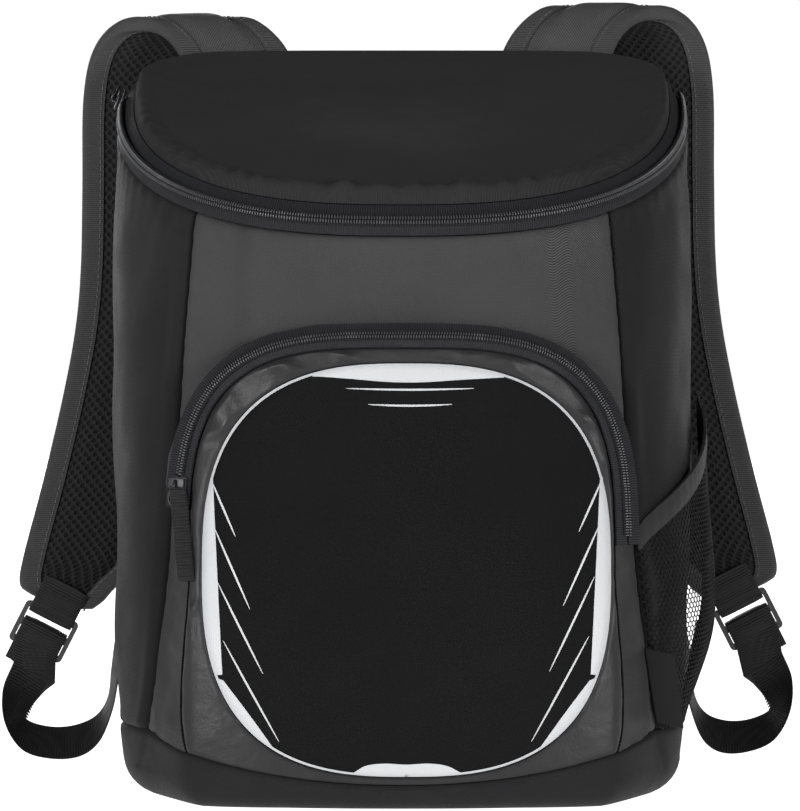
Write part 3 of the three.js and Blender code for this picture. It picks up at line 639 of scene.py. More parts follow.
class Finish:
    """A material whose nodes are wired up in a few words."""

    def __init__(self, name):
        self.material = bpy.data.materials.new(name)
        self.material.use_nodes = True
        self.nodes = self.material.node_tree.nodes
        self.links = self.material.node_tree.links
        self.shader = self.nodes["Principled BSDF"]
        self.place = self.nodes.new("ShaderNodeTexCoord")

    def feed(self, node, socket, source):
        if hasattr(source, "is_linked"):
            self.links.new(source, node.inputs[socket])
        else:
            node.inputs[socket].default_value = source

    def math(self, operation, a, b=0.0, c=0.0):
        node = self.nodes.new("ShaderNodeMath")
        node.operation = operation
        for k, source in enumerate((a, b, c)):
            self.feed(node, k, source)
        return node.outputs[0]

    def wave(self, source, pitch, shift=0.0):
        """A sine from 0 to 1 that repeats every pitch metres."""
        turned = self.math("MULTIPLY_ADD", source, 2 * PI / pitch, shift)
        return self.math("MULTIPLY_ADD", self.math("SINE", turned), 0.5, 0.5)

    def flat(self, angle=0.0):
        """The piece's own flat coordinates in metres, turned by an angle."""
        turn = self.nodes.new("ShaderNodeMapping")
        self.links.new(self.place.outputs["UV"], turn.inputs["Vector"])
        turn.inputs["Rotation"].default_value = (0, 0, math.radians(angle))
        parts = self.nodes.new("ShaderNodeSeparateXYZ")
        self.links.new(turn.outputs[0], parts.inputs[0])
        return parts.outputs[0], parts.outputs[1]

    def noise(self, size, detail=2.0, roughness=0.5):
        node = self.nodes.new("ShaderNodeTexNoise")
        self.links.new(self.place.outputs["Object"], node.inputs["Vector"])
        node.inputs["Scale"].default_value = 1 / size
        node.inputs["Detail"].default_value = detail
        node.inputs["Roughness"].default_value = roughness
        return node.outputs[0]

    def span(self, source, low, high, to_low=0.0, to_high=1.0):
        node = self.nodes.new("ShaderNodeMapRange")
        self.links.new(source, node.inputs[0])
        for k, v in enumerate((low, high, to_low, to_high)):
            node.inputs[k + 1].default_value = v
        return node.outputs[0]

    def mix(self, share, a, b):
        node = self.nodes.new("ShaderNodeMix")
        node.data_type = "RGBA"
        for socket, source in ((0, share), (6, a), (7, b)):
            if isinstance(source, (tuple, list)):
                source = (*source[:3], 1.0)
            self.feed(node, socket, source)
        return node.outputs[2]

    def relief(self, height, depth, strength=1.0, under=None):
        node = self.nodes.new("ShaderNodeBump")
        node.inputs["Distance"].default_value = depth
        node.inputs["Strength"].default_value = strength
        self.links.new(height, node.inputs["Height"])
        if under is not None:
            self.links.new(under, node.inputs["Normal"])
        return node.outputs[0]

    def set(self, **sockets):
        for name, value in sockets.items():
            self.feed(self.shader, name.replace("_", " "), value)
        return self


def shade(colour, share):
    return tuple(c * share for c in colour[:3])


def cloth_sheen(finish):
    """The faint light edge that all the bag's cloth has."""
    finish.shader.inputs["Sheen Weight"].default_value = 0.02
    finish.shader.inputs["Sheen Roughness"].default_value = 0.5
    finish.shader.inputs["Sheen Tint"].default_value = (1, 1, 1, 1)


def twill(name, colour, pitch=0.00135, depth=0.0003, roughness=0.55, specular=0.16, painted_thread_shading=0.6):
    """Diagonal twill cloth with threads both ways, a little uneven, with painted highlight on the raised
    threads and painted shade between them.
    """
    f = Finish(name)
    u, v = f.flat()
    diagonal = f.wave(f.math("ADD", u, v), pitch)
    threads = f.math("MULTIPLY", f.wave(u, pitch / 2), f.wave(v, pitch / 2))
    height = f.math("MULTIPLY_ADD", threads, 0.45, f.math("MULTIPLY", diagonal, 0.75))
    cloudy = f.span(f.noise(0.09, 3), 0.3, 0.7, 0.86, 1.12)
    # Colour by thread height: painted highlight on the raised threads, painted shade in the hollows between
    # them.
    lit = f.mix(f.span(height, 0.1, 1.0), shade(colour, 1 - painted_thread_shading), shade(colour, 1 + painted_thread_shading))
    tinted = f.nodes.new("ShaderNodeMix")
    tinted.data_type = "RGBA"
    tinted.blend_type = "MULTIPLY"
    tinted.inputs[0].default_value = 1.0
    f.links.new(lit, tinted.inputs[6])
    f.links.new(cloudy, tinted.inputs[7])
    fuzz = f.relief(f.noise(0.0022, 3), 0.0003, 0.25)
    f.set(Base_Color=tinted.outputs[2], Normal=f.relief(height, depth, 1.0, fuzz))
    f.set(Roughness=f.span(f.noise(0.03, 3), 0.3, 0.7, roughness - 0.06, roughness + 0.08))
    f.set(Specular_IOR_Level=specular)
    cloth_sheen(f)
    return f.material


def plain_weave(name, colour, pitch=0.0011, specular=0.13):
    """Plain over-and-under weave, with painted highlight on the raised threads and painted shade between
    them.
    """
    depth, roughness, painted_thread_shading = 0.0002, 0.62, 0.35
    f = Finish(name)
    u, v = f.flat(2.0)
    over = f.math("MULTIPLY", f.wave(u, pitch), f.wave(v, pitch))
    under = f.math("MULTIPLY", f.wave(u, pitch, PI), f.wave(v, pitch, PI))
    height = f.math("ADD", over, under)
    cloudy = f.span(f.noise(0.07, 3), 0.3, 0.7, -0.12, 0.12)
    # Colour by thread height is painted highlight and painted shade; the cloudy part is uneven tone.
    share = f.math("ADD", f.span(height, 0.0, 1.0), cloudy)
    lit = f.mix(share, shade(colour, 1 - painted_thread_shading), shade(colour, 1 + painted_thread_shading))
    fuzz = f.relief(f.noise(0.0018, 3), 0.0003, 0.3)
    f.set(Base_Color=lit, Normal=f.relief(height, depth, 1.0, fuzz))
    f.set(Roughness=f.span(f.noise(0.02, 3), 0.3, 0.7, roughness - 0.06, roughness + 0.06))
    f.set(Specular_IOR_Level=specular)
    cloth_sheen(f)
    return f.material


def coated(name, colour):
    """Smooth coated cloth with fine crumples and a satin shine."""
    f = Finish(name)
    u, v = f.flat()
    grain = f.math("MULTIPLY", f.wave(u, 0.0011), f.wave(v, 0.0011))
    crumple = f.noise(0.011, 5, 0.62)
    base = f.mix(f.span(f.noise(0.05, 4), 0.3, 0.7), shade(colour, 0.86), shade(colour, 1.14))
    creased = f.relief(crumple, 0.0016, 0.4)
    f.set(Base_Color=base, Normal=f.relief(grain, 0.00005, 0.5, creased))
    f.set(Roughness=f.span(f.noise(0.018, 4), 0.3, 0.7, 0.36, 0.5))
    f.set(Specular_IOR_Level=0.15)
    cloth_sheen(f)
    return f.material


def ribbed(name, colour, pitch=0.0014, specular=0.14):
    """Woven tape with cross ribs and fine lengthwise threads, the raised threads lighter as painted
    highlight and the grooves darker as painted shade.
    """
    f = Finish(name)
    u, v = f.flat()
    threads = f.math("MULTIPLY", f.wave(u, pitch), f.math("MULTIPLY_ADD", f.wave(v, pitch * 0.6), 0.4, 0.6))
    # Colour by rib height: painted highlight on the ribs, painted shade in the grooves.
    base = f.mix(f.span(threads, 0.0, 1.0), shade(colour, 0.6), shade(colour, 1.45))
    fuzz = f.relief(f.noise(0.0012, 3), 0.0002, 0.4)
    f.set(Base_Color=base, Normal=f.relief(threads, 0.0003, 1.0, fuzz))
    f.set(Roughness=f.span(f.noise(0.01, 2), 0.3, 0.7, 0.5, 0.63))
    f.set(Specular_IOR_Level=specular)
    cloth_sheen(f)
    return f.material


def moulded(name, colour, roughness=0.42, specular=0.4, metal=0.0):
    """Moulded plastic with a fine grain and lighter rubbed patches."""
    f = Finish(name)
    grain = f.noise(0.0012, 2)
    rubbed = f.span(f.noise(0.008, 4, 0.65), 0.56, 0.7)
    f.set(Base_Color=f.mix(rubbed, shade(colour, 1.0), shade(colour, 1.9)))
    f.set(Normal=f.relief(grain, 0.0001, 0.5), Roughness=f.span(rubbed, 0, 1, roughness, roughness + 0.15))
    f.set(Specular_IOR_Level=specular, Metallic=metal)
    return f.material


def pitted(name, colour):
    """Spacer mesh with staggered round pits, painted darker inside as painted shade."""
    pitch = 0.005
    f = Finish(name)

    def dots(shift):
        total = None
        for source in f.flat():
            step = f.math("FRACT", f.math("MULTIPLY_ADD", source, 1 / pitch, shift + 40.0))
            part = f.math("POWER", f.math("ABSOLUTE", f.math("SUBTRACT", step, 0.5)), 2.0)
            total = part if total is None else f.math("ADD", total, part)
        return f.math("SQRT", total)

    near = f.math("MINIMUM", dots(0.0), dots(0.5))
    height = f.span(near, 0.16, 0.3)
    knit = f.math("MULTIPLY", f.wave(f.flat()[0], 0.0009), f.wave(f.flat()[1], 0.0009))
    # The pits are coloured darker: painted shade in the hollows.
    base = f.mix(height, shade(colour, 0.35), shade(colour, 1.25))
    f.set(Base_Color=base, Normal=f.relief(height, 0.0012, 1.0, f.relief(knit, 0.0002, 0.7)))
    f.set(Roughness=0.75, Specular_IOR_Level=0.1)
    cloth_sheen(f)
    return f.material


def printed(name, colour):
    """Pale print: smooth ink on the weave, with small wear."""
    f = Finish(name)
    u, v = f.flat()
    weave = f.math("MULTIPLY", f.wave(u, 0.0012), f.wave(v, 0.0012))
    worn = f.span(f.noise(0.0035, 5, 0.7), 0.62, 0.78, 0, 0.35)
    f.set(Base_Color=f.mix(worn, shade(colour, 1), shade(colour, 0.72)))
    f.set(Normal=f.relief(weave, 0.00008, 0.6), Roughness=0.42, Specular_IOR_Level=0.3)
    return f.material


finishes = {}


def finish(name):
    """The bag's materials, each made once."""
    c = bpy.context.scene.cooler_colours
    makers = {
        "shell_cloth": lambda: twill("shell twill", c.shell, painted_thread_shading=0.8),
        "gusset_cloth": lambda: twill("gusset twill", shade(c.shell, 0.55), painted_thread_shading=0.95, depth=0.0005),
        # The side cloth's darker colour is painted shade.
        "side_cloth": lambda: twill("side twill", c.side, painted_thread_shading=0.7, specular=0.06),
        "strap_cloth": lambda: twill("strap twill", c.strap),
        "lid_cloth": lambda: plain_weave("lid weave", c.lid, specular=0.06),
        "boot_cloth": lambda: plain_weave("boot weave", c.boot, specular=0.07),
        "zip_tape": lambda: ribbed("zip tape knit", c.tape, 0.0012),
        "zip_coil": lambda: moulded("zip coil nylon", c.coil, 0.38, 0.45),
        "zip_core": lambda: ribbed("zip core cord", shade(c.coil, 0.15), 0.0012, specular=0.05),
        "pocket_cloth": lambda: twill(
            "pocket twill", c.pocket, 0.0013, depth=0.0002, specular=0.05, roughness=0.5
        ),
        "coated_cloth": lambda: coated("coated border cloth", c.border),
        "black_plastic": lambda: moulded("black plastic", c.plastic),
        "slider_metal": lambda: moulded("black slider metal", c.slider, 0.42, 0.4, 0.6),
        "net": lambda: moulded("net thread", c.net, 0.6, 0.12),
        "webbing": lambda: ribbed("black webbing", c.webbing),
        "binding": lambda: ribbed("binding tape", c.binding, 0.0011),
        "band_cloth": lambda: plain_weave("band weave", c.band, 0.0009),
        "label_cloth": lambda: plain_weave("label weave", shade(c.band, 0.35), 0.0007),
        "thread": lambda: moulded("stitching thread", c.thread, 0.6, 0.3),
        "spacer_mesh": lambda: pitted("spacer mesh", c.lining),
        "print": lambda: printed("pale print", c.print_trim),
    }
    if name not in finishes:
        finishes[name] = makers[name]()
    return finishes[name]


def colour(name, description, default):
    return FloatVectorProperty(
        name=name, description=description, default=default, subtype="COLOR", size=3, min=0, max=1
    )


def amount(name, description, default, **more):
    return FloatProperty(name=name, description=description, default=default, min=0, **more)


def length(name, description, default):
    return amount(name, description, default, unit="LENGTH", precision=5)


class CoolerColours(bpy.types.PropertyGroup):
    shell: colour("Front cloth", "Twill of the front panel and the gusset", (0.034, 0.034, 0.0345))
    # Much darker than the front cloth: painted shade of the sides and back, which face away from the lamps.
    side: colour("Side cloth", "Twill of the sides and the back", (0.0105, 0.0105, 0.0107))
    strap: colour("Strap cloth", "Twill on the shoulder straps", (0.042, 0.042, 0.0425))
    lid: colour("Lid cloth", "Weave of the lid", (0.0135, 0.0135, 0.0138))
    boot: colour("Boot cloth", "Weave of the base boot", (0.0095, 0.0091, 0.0098))
    tape: colour("Zip tape", "Knitted tape of both zips", (0.0105, 0.0107, 0.0126))
    coil: colour("Zip coil", "Nylon of the zips' teeth", (0.045, 0.045, 0.048))
    pocket: colour("Pocket cloth", "Twill of the pocket's inner panel", (0.0033, 0.0033, 0.0034))
    border: colour("Border cloth", "Coated cloth round the pocket's panel", (0.0145, 0.014, 0.0148))
    print_trim: colour("Print", "Pale bands on the pocket", (0.345, 0.35, 0.36))
    plastic: colour("Plastic", "Ladder locks", (0.009, 0.009, 0.0095))
    slider: colour("Slider", "Zip sliders", (0.018, 0.018, 0.02))
    net: colour("Net", "Thread of the net pocket", (0.006, 0.006, 0.006))
    webbing: colour("Webbing", "Adjuster webbing, loops, anchors and pull tab", (0.0075, 0.0075, 0.0075))
    binding: colour("Binding", "Tape over the straps' edges", (0.034, 0.034, 0.034))
    band: colour("Band", "Smooth tape along the net's rim and behind it", (0.015, 0.015, 0.0155))
    thread: colour("Thread", "Visible stitching", (0.05, 0.05, 0.052))
    lining: colour("Strap lining", "Spacer mesh under the straps", (0.0082, 0.0082, 0.009))


class CoolerSizes(bpy.types.PropertyGroup):
    seam_width: length("Seam roll", "How far from a seam the padding starts to roll in", 0.006)
    seam_depth: length("Seam depth", "How deep a seam lies in the padding", 0.0024)
    softness: length("Softness", "Size of the slow dents in the padded walls", 0.0007)
    pucker: length("Pucker", "Size of the gathers along the lid's edge", 0.0012)
    tooth_spacing: length("Tooth spacing", "Distance from one zip tooth to the next", 0.0014)
    coil_width: length("Coil width", "Width of the zips' two rows of teeth", 0.0064)
    stitch: length("Stitch", "Length of one stitch", 0.0026)
    stitch_spacing: length("Stitch spacing", "Distance from one stitch to the next", 0.0036)
    net_pitch: length("Net pitch", "Distance between the net's holes", 0.0027)
    net_thread: length("Net thread", "Radius of the net's thread", 0.00036)
    rib_spacing: length("Rib spacing", "Distance between the webbing's ribs", 0.0016)
    thread_sides: IntProperty(
        name="Thread sides", description="Faces round a thread of the net", default=4, min=3, max=8
    )


class CoolerStage(bpy.types.PropertyGroup):
    distance: length("Camera distance", "From the camera to the bag", 2.6)
    elevation: FloatProperty(
        name="Camera height", description="Angle above level", default=math.radians(2.5), subtype="ANGLE"
    )
    lens: FloatProperty(name="Lens", description="Focal length in millimetres", default=225.28, min=10)
    key: amount("Key light", "Power of the light from the left front", 80)
    fill: amount("Fill light", "Power of the light from the right front", 62)
    top: amount("Top light", "Power of the light overhead", 2)
    back: amount("Back light", "Power of the light behind", 40)
    sky: amount("Sky", "Brightness behind the bag, at the height of the eye", 1.03)
    ceiling: amount("Ceiling", "Share of that brightness overhead", 0.05)
    around: amount("Sides", "Share of that brightness in front and at the sides", 0.45)
    glow_front: amount("Floor glow in front", "Strength of the floor's own white in front of the bag", 0.65)
    glow_back: amount("Floor glow behind", "Strength of the floor's own white behind the bag", 0.95)
    floor: colour("Floor", "The plain floor", (0.8, 0.8, 0.8))


# Stage

CAMERA_TARGET = Vector((-0.00102, 0.015, 0.19379))
LAMP_TARGET = Vector((0, 0, 0.2))
# Where the floor's glow and the sky's two changes start and end: depth in metres, then parts of a direction
GLOW_SPAN = (-2.6, -0.1)
SKY_TO_BACK = (0.3, 0.9)
SKY_TO_TOP = (0.07, 0.3)


class COOLER_OT_stage(bpy.types.Operator):
    """Camera, plain floor and soft light"""

    bl_idname = "cooler.stage"
    bl_label = "Stage"

    def execute(self, context):
        s = context.scene.cooler_stage
        data = bpy.data.cameras.new("camera")
        data.lens = s.lens
        data.sensor_width = 36
        data.clip_start, data.clip_end = 0.1, 100
        camera = bpy.data.objects.new("camera", data)
        back = Vector((0, -math.cos(s.elevation), math.sin(s.elevation)))
        camera.location = CAMERA_TARGET + back * s.distance
        camera.rotation_mode = "QUATERNION"
        camera.rotation_quaternion = (-back).to_track_quat("-Z", "Y")
        context.scene.collection.objects.link(camera)
        context.scene.camera = camera

        turns = np.linspace(0, 2 * PI, 64, endpoint=False)
        rings = [
            np.stack([r * np.cos(turns), r * np.sin(turns), 0 * turns], -1) for r in (0.0, 1500.0, 16000.0)
        ]
        below = [ring - [0, 0, 20.0] for ring in reversed(rings)]
        grid = np.stack([*rings, *below])
        ground = Finish("plain floor")
        tone = ground.noise(0.7, 3)
        parts = ground.nodes.new("ShaderNodeSeparateXYZ")
        ground.links.new(ground.place.outputs["Object"], parts.inputs[0])
        glow = ground.span(parts.outputs[1], *GLOW_SPAN, s.glow_front, s.glow_back)
        ground.set(Base_Color=ground.mix(tone, shade(s.floor, 0.985), shade(s.floor, 1.015)))
        ground.set(Roughness=0.9, Specular_IOR_Level=0.1)
        ground.set(Emission_Color=(1, 1, 1, 1), Emission_Strength=glow)
        floor = closed_skin("floor", grid, ground.material)

        world = bpy.data.worlds.new("soft white")
        world.use_nodes = True
        world.node_tree.nodes["Background"].inputs[0].default_value = (1, 1, 1, 1)
        nodes, links = world.node_tree.nodes, world.node_tree.links
        direction = nodes.new("ShaderNodeTexCoord")
        parts = nodes.new("ShaderNodeSeparateXYZ")
        dim, behind = nodes.new("ShaderNodeMapRange"), nodes.new("ShaderNodeMapRange")
        for node, values in (
            (behind, (*SKY_TO_BACK, s.sky * s.around, s.sky)),
            (dim, (*SKY_TO_TOP, 1.0, s.sky * s.ceiling)),
        ):
            node.interpolation_type = "SMOOTHSTEP"
            for k, v in enumerate(values):
                node.inputs[k + 1].default_value = v
        links.new(direction.outputs["Generated"], parts.inputs[0])
        links.new(parts.outputs[1], behind.inputs[0])
        links.new(parts.outputs[2], dim.inputs[0])
        links.new(behind.outputs[0], dim.inputs[3])
        links.new(dim.outputs[0], nodes["Background"].inputs[1])
        context.scene.world = world
        lights = [
            ("key", (-1.6, -2.3, 0.7), s.key, 0.8),
            ("fill", (1.7, -2.2, 0.55), s.fill, 0.8),
            ("top", (0.1, 0.9, 2.4), s.top, 1.6),
            ("back", (-0.6, 3.0, 1.0), s.back, 1.4),
        ]
        for name, place, power, size in lights:
            light = bpy.data.lights.new(name, "AREA")
            light.energy, light.size = power, size
            lamp = bpy.data.objects.new(name, light)
            lamp.location = place
            lamp.rotation_mode = "QUATERNION"
            lamp.rotation_quaternion = (LAMP_TARGET - Vector(place)).to_track_quat("-Z", "Y")
            context.scene.collection.objects.link(lamp)
        context.scene.view_settings.view_transform = "Standard"
        return {"FINISHED"}


# Tub


def panel(name, columns, rows, angle_at, bottom_at, material, slot, pillow=0.0, seed=1, soft=1.0):
    """A padded wall panel between its seams, with rolled edges and gathers along them."""
    sizes = bpy.context.scene.cooler_sizes
    across, rise = np.meshgrid(dense_ends(columns), dense_ends(rows), indexing="ij")
    angle = angle_at(across, rise)
    z = lerp(bottom_at(angle), wall_top(angle), rise)
    base = tub_point(angle, z, 0)
    left, right, low, high = edge_distances(base)
    side = np.minimum(left, right)
    inset = roll(side, sizes.seam_width / MM, sizes.seam_depth / MM) + roll(high, 5, 2.2) + roll(low, 4, 1.8)
    inset -= pillow * np.exp(-(((side - 6) / 4.5) ** 2))
    gather = np.sin(base[..., 2] * 2 * PI / 11 + 1.5 * ripple(base, 60, seed + 5))
    inset += 0.28 * gather * np.exp(-side / 7)
    gather_top = np.sin((left + 0.3 * base[..., 2]) * 2 * PI / 14 + 1.5 * ripple(base, 50, seed + 9))
    inset += gather_top * (0.5 * np.exp(-high / 8) + 0.22 * np.exp(-low / 8))
    fade = smoothstep(np.minimum(np.minimum(side, high), low), 0, 14)
    dents = ripple(base, 95, seed) + 0.35 * ripple(base, 38, seed + 1)
    inset += soft * sizes.softness / MM * fade * dents
    outer = tub_point(angle, z, inset)
    inner = tub_point(angle, z, np.maximum(WALL - 0.2, inset + 2))
    obj = shell(name, outer, inner, material, sharp=60)
    return dress(obj, slot, name.replace("_cloth", ""))


def front_bottom(angle):
    x = np.abs(outline(angle, BOOT_CORNER)[0])
    on_boot = smoothstep(x, 0.66 * corner_x, 0.8 * corner_x)
    return lerp(FLOOR, boot_seam(angle), on_boot) + SEAM_GAP


class COOLER_OT_tub(bpy.types.Operator):
    """Front, side and back panels of the insulated tub"""

    bl_idname = "cooler.tub"
    bl_label = "Tub"

    def execute(self, context):
        gap = 0.0024
        panel(
            "front_panel_cloth", 120, 110,
            lambda across, rise: (2 * across - 1) * (seam_angle(rise) - gap),
            front_bottom, finish("shell_cloth"), "shell_cloth", seed=11,
        )
        for name, side in (("left", -1), ("right", 1)):
            panel(
                f"side_panel_{name}_cloth", 110, 110,
                lambda across, rise, side=side: side * lerp(seam_angle(rise) + gap, BACK_SEAM - gap, across),
                lambda angle: boot_seam(angle) + SEAM_GAP, finish("side_cloth"), "shell_cloth",
                pillow=0.9, seed=23 + side, soft=1.6,
            )
        panel(
            "back_panel_cloth", 110, 110,
            lambda across, rise: lerp(BACK_SEAM + gap, 2 * PI - BACK_SEAM - gap, across),
            lambda angle: boot_seam(angle) + SEAM_GAP, finish("side_cloth"), "shell_cloth",
            seed=37, soft=1.3,
        )
        return {"FINISHED"}


class COOLER_OT_boot(bpy.types.Operator):
    """Base boot: the darker cup that the bag stands on"""

    bl_idname = "cooler.boot"
    bl_label = "Base boot"

    def execute(self, context):
        count = 420
        angle = np.linspace(-PI, PI, count, endpoint=False)
        seam = boot_seam(angle)
        round_ = np.minimum(BOTTOM_ROUND, 0.85 * seam)
        rows, inner_rows = [], []
        for share in (0.0, 0.45, 0.8, 0.94):
            x, y = inset_outline(angle, 0 * angle + 1, round_, pocket_bulge)
            rows.append(np.stack([x * share, lerp(8.0, y, share), 0 * x], -1))
            inner_rows.append(rows[-1] + [0, 0, FLOOR])
        for share in np.linspace(0, 1, 9):
            turn = share * PI / 2
            z = round_ * (1 - math.cos(turn))
            x, y = inset_outline(angle, np.maximum(z, 0), round_ * (1 - math.sin(turn)), pocket_bulge)
            rows.append(np.stack([x, y, z], -1))
            inner_round = np.maximum(round_ - FLOOR, 1)
            zi = FLOOR + inner_round * (1 - math.cos(turn))
            x, y = inset_outline(angle, zi, WALL + inner_round * (1 - math.sin(turn)), pocket_bulge)
            inner_rows.append(np.stack([x, y, zi], -1))
        for share in np.linspace(0, 1, 12)[1:]:
            z = lerp(round_, seam, share)
            x, y = outline(angle, z)
            corner = lerp(134, 128, smoothstep(z, 5, BOOT_CORNER))
            seam_line = np.exp(-(((np.abs(x) - corner) / 1.3) ** 2)) * (np.cos(angle) > 0)
            inset = roll(seam - z, 3.6, 1.7) + 0.9 * seam_line * smoothstep(z, 3, 10)
            place = np.stack([x, y, z], -1)
            inset = inset + 0.35 * ripple(place, 55, 51) * smoothstep(z, 6, 20) * smoothstep(seam - z, 0, 5)
            inset = inset + 0.2 * np.sin(x / 5.5 + 2 * ripple(place, 60, 52)) * np.exp(-(seam - z) / 5)
            x, y = inset_outline(angle, z, inset, pocket_bulge)
            rows.append(np.stack([x, y, z], -1))
            x, y = inset_outline(angle, z, np.maximum(WALL, inset + 2), pocket_bulge)
            inner_rows.append(np.stack([x, y, z], -1))
        outer = np.stack(rows, axis=1)
        inner = np.stack(inner_rows, axis=1)
        obj = shell("base_boot_cloth", outer, inner, finish("boot_cloth"), wrap=True, sharp=60)
        dress(obj, "boot_cloth", "base_boot")
        return {"FINISHED"}


# Lid


def lid_edge(angle):
    behind = smoothstep(from_front(angle), LID_ZIP_END, LID_ZIP_END + 0.6)
    return rim_point(angle, lerp(LID_INSET, 1, behind), LID_RISE + 5 * behind)


# How far the lid's middle is from its edge, as the table of its height counts it
LID_REACH = 112
# Height of the lid's top above its seam, against the distance from its edge
lid_top = column([
    (0, 0.6), (0.5, 4.2), (1.5, 6.6), (3.2, 7.7), (6, 7.4), (11, 6.2), (22, 6.4), (60, 8.9), (LID_REACH, 10),
])
# Height of its underside as a share of its thickness, against the share of the way to the edge
lid_under = column([(0, 0), (0.4, -0.04), (0.72, -0.12), (0.9, -0.2), (0.965, -0.2), (1, -0.1)])

# Small tents in the cloth over the front of the lid's seam: where, and how tall
lid_tents = [(-52, 0.8), (-27, 1.9), (-9, 1.0), (8, 0.8), (31, 1.8), (58, 0.7)]


class COOLER_OT_lid(bpy.types.Operator):
    """Padded lid with a rolled, gathered edge"""

    bl_idname = "cooler.lid"
    bl_label = "Lid"

    def execute(self, context):
        sizes = context.scene.cooler_sizes
        angle = np.linspace(-PI, PI, 420, endpoint=False)
        edge = lid_edge(angle)
        steps = np.linalg.norm(np.roll(edge, -1, axis=0) - edge, axis=1)
        around = np.concatenate([[0], np.cumsum(steps)])[:-1]
        outs = np.concatenate([np.linspace(0, 0.8, 16), 1 - (1 - np.linspace(0, 1, 22)[1:]) ** 1.8 * 0.2])
        middle = (BACK_REACH - FRONT_REACH) / 2

        def surface(out, height, padded):
            x, y = edge[:, 0] * out, lerp(middle, edge[:, 1], out)
            seam_z = zip_height(y) + lerp(LID_RISE, edge[:, 2] - zip_height(edge[:, 1]), out**5)
            place = np.stack([x, y, seam_z], -1)
            if padded:
                from_edge = (1 - out) * LID_REACH
                uneven = (0.55 + 0.45 * ripple(place, 46, 64)) * smoothstep(-edge[:, 1], -70, 30)
                gather = np.sin(around * 2 * PI / 13 + 2.6 * ripple(place, 60, 61)) * uneven
                height = height + sizes.pucker / MM * gather * math.exp(-(((from_edge - 4) / 5) ** 2))
                inner = float(smoothstep(from_edge, 3, 30))
                height = height + inner * (0.8 * ripple(place, 120, 62) + 0.2 * ripple(place, 45, 63))
                tents = sum(
                    tall * np.exp(-(((x - where) / 4.5) ** 2)) * (y < 0) for where, tall in lid_tents
                )
                height = height + tents * math.exp(-((from_edge - 3) / 8) ** 2 if from_edge > 3 else 0)
            return place + np.stack([0 * x, 0 * x, 0 * x + height], -1)

        rows = [surface(o, float(lid_top((1 - o) * LID_REACH)) * LID_LOFT / 10, True) for o in outs]
        rows += [surface(o, float(lid_under(o)) * LID_THICKNESS, False) for o in reversed(outs)]
        grid = np.stack(rows)
        full = np.concatenate([grid, grid[:, :1]], axis=1)
        obj = closed_skin("lid_panel_cloth", grid, finish("lid_cloth"), flat=full[..., :2] * MM)
        dress(obj, "lid_cloth", "lid_panel")
        return {"FINISHED"}


def rim_strip(name, low, high, node):
    angle = np.linspace(-1, 1, 360) * (LID_ZIP_END - 0.03)
    outer, inner = [], []
    for share in np.linspace(0, 1, 9):
        inset, rise = lerp(low[0], high[0], share), lerp(low[1], high[1], share)
        place = rim_point(angle, inset, rise)
        wave = 0.22 * ripple(place, 26, 71) * math.sin(PI * share)
        outer.append(rim_point(angle, inset + wave, rise))
        inner.append(rim_point(angle, inset + TAPE_THICKNESS, rise - 0.4 * TAPE_THICKNESS))
    obj = shell(name, np.stack(outer, 1), np.stack(inner, 1), finish("zip_tape"))
    dress(obj, "zip_tape", node)


def lid_coil_frame(angle):
    seat = 2.3
    point = rim_point(angle, seat, 0)
    above, below = rim_point(angle, 3.6, LID_RISE / 2), rim_point(angle, 1.5, -TAPE_DROP / 2)
    along = unit(rim_point(angle + 0.02, seat, 0) - rim_point(angle - 0.02, seat, 0))
    across = unit(above - below)
    out = unit(np.cross(across, along))
    centre = np.stack([0 * point[..., 0], 0 * point[..., 0] + WIDEST_BEHIND, point[..., 2]], -1)
    out = out * np.sign((out * (point - centre)).sum(-1, keepdims=True))
    return point + out * 0.5, across, out, along


def teeth(name, point, across, out, node, scale=1.0):
    """The zip's closed coil: a low core, two rows of teeth, and the sewn edge on either side."""
    sizes = bpy.context.scene.cooler_sizes
    half = sizes.coil_width / MM / 2 * scale
    turns = np.linspace(0, PI, 9)
    ring = np.stack([-np.cos(turns) * half * 0.96, 0.3 + np.sin(turns) * 0.9 * scale], -1)
    ring = np.concatenate([ring, [[half * 0.9, -0.1], [-half * 0.9, -0.1]]])
    core = np.stack([point + across * a + out * b for a, b in ring], axis=1)
    base = closed_skin(name + "_core", core, finish("zip_core"), ends=True)
    rows, sewn = [], []
    spacing = sizes.tooth_spacing / MM * (0.8 + 0.2 * scale)
    for side in (-1, 1):
        line = point + across * side * half * 0.36 + out * (0.2 + 1.1 * scale)
        start = 0 if side < 0 else spacing / 2
        rows.append(cut_start(line, unit(out + across * side * 0.3), start + 0.1))
        line = point + across * side * half * 0.86 + out * 0.75
        sewn.append(cut_start(line, unit(out + across * side * 0.8), 0.1))
    shape = cross_bar(half * 0.6, spacing * 0.5, 1.3 * scale)
    row = repeat(name + "_teeth", rows, shape, spacing, finish("zip_coil"))
    shape = cross_bar(half * 0.3, spacing * 0.6, 0.5)
    edge = repeat(name + "_sewn", sewn, shape, spacing, finish("zip_tape"))
    dress(joined(name, [base, row, edge]), "zip_coil", node)


def block(size, bevel, at):
    """A rounded block in millimetres, to be placed later."""
    mesh = bmesh.new()
    bmesh.ops.create_cube(mesh, size=1, calc_uvs=True)
    bmesh.ops.scale(mesh, vec=[v * MM for v in size], verts=mesh.verts)
    bmesh.ops.bevel(mesh, geom=mesh.edges[:], offset=bevel * MM, segments=3, affect="EDGES", profile=0.5)
    bmesh.ops.translate(mesh, vec=[v * MM for v in at], verts=mesh.verts)
    data = bpy.data.meshes.new("block")
    mesh.to_mesh(data)
    mesh.free()
    data.polygons.foreach_set("use_smooth", [True] * len(data.polygons))
    data.set_sharp_from_angle(angle=math.radians(50))
    obj = bpy.data.objects.new("block", data)
    bpy.context.scene.collection.objects.link(obj)
    return obj


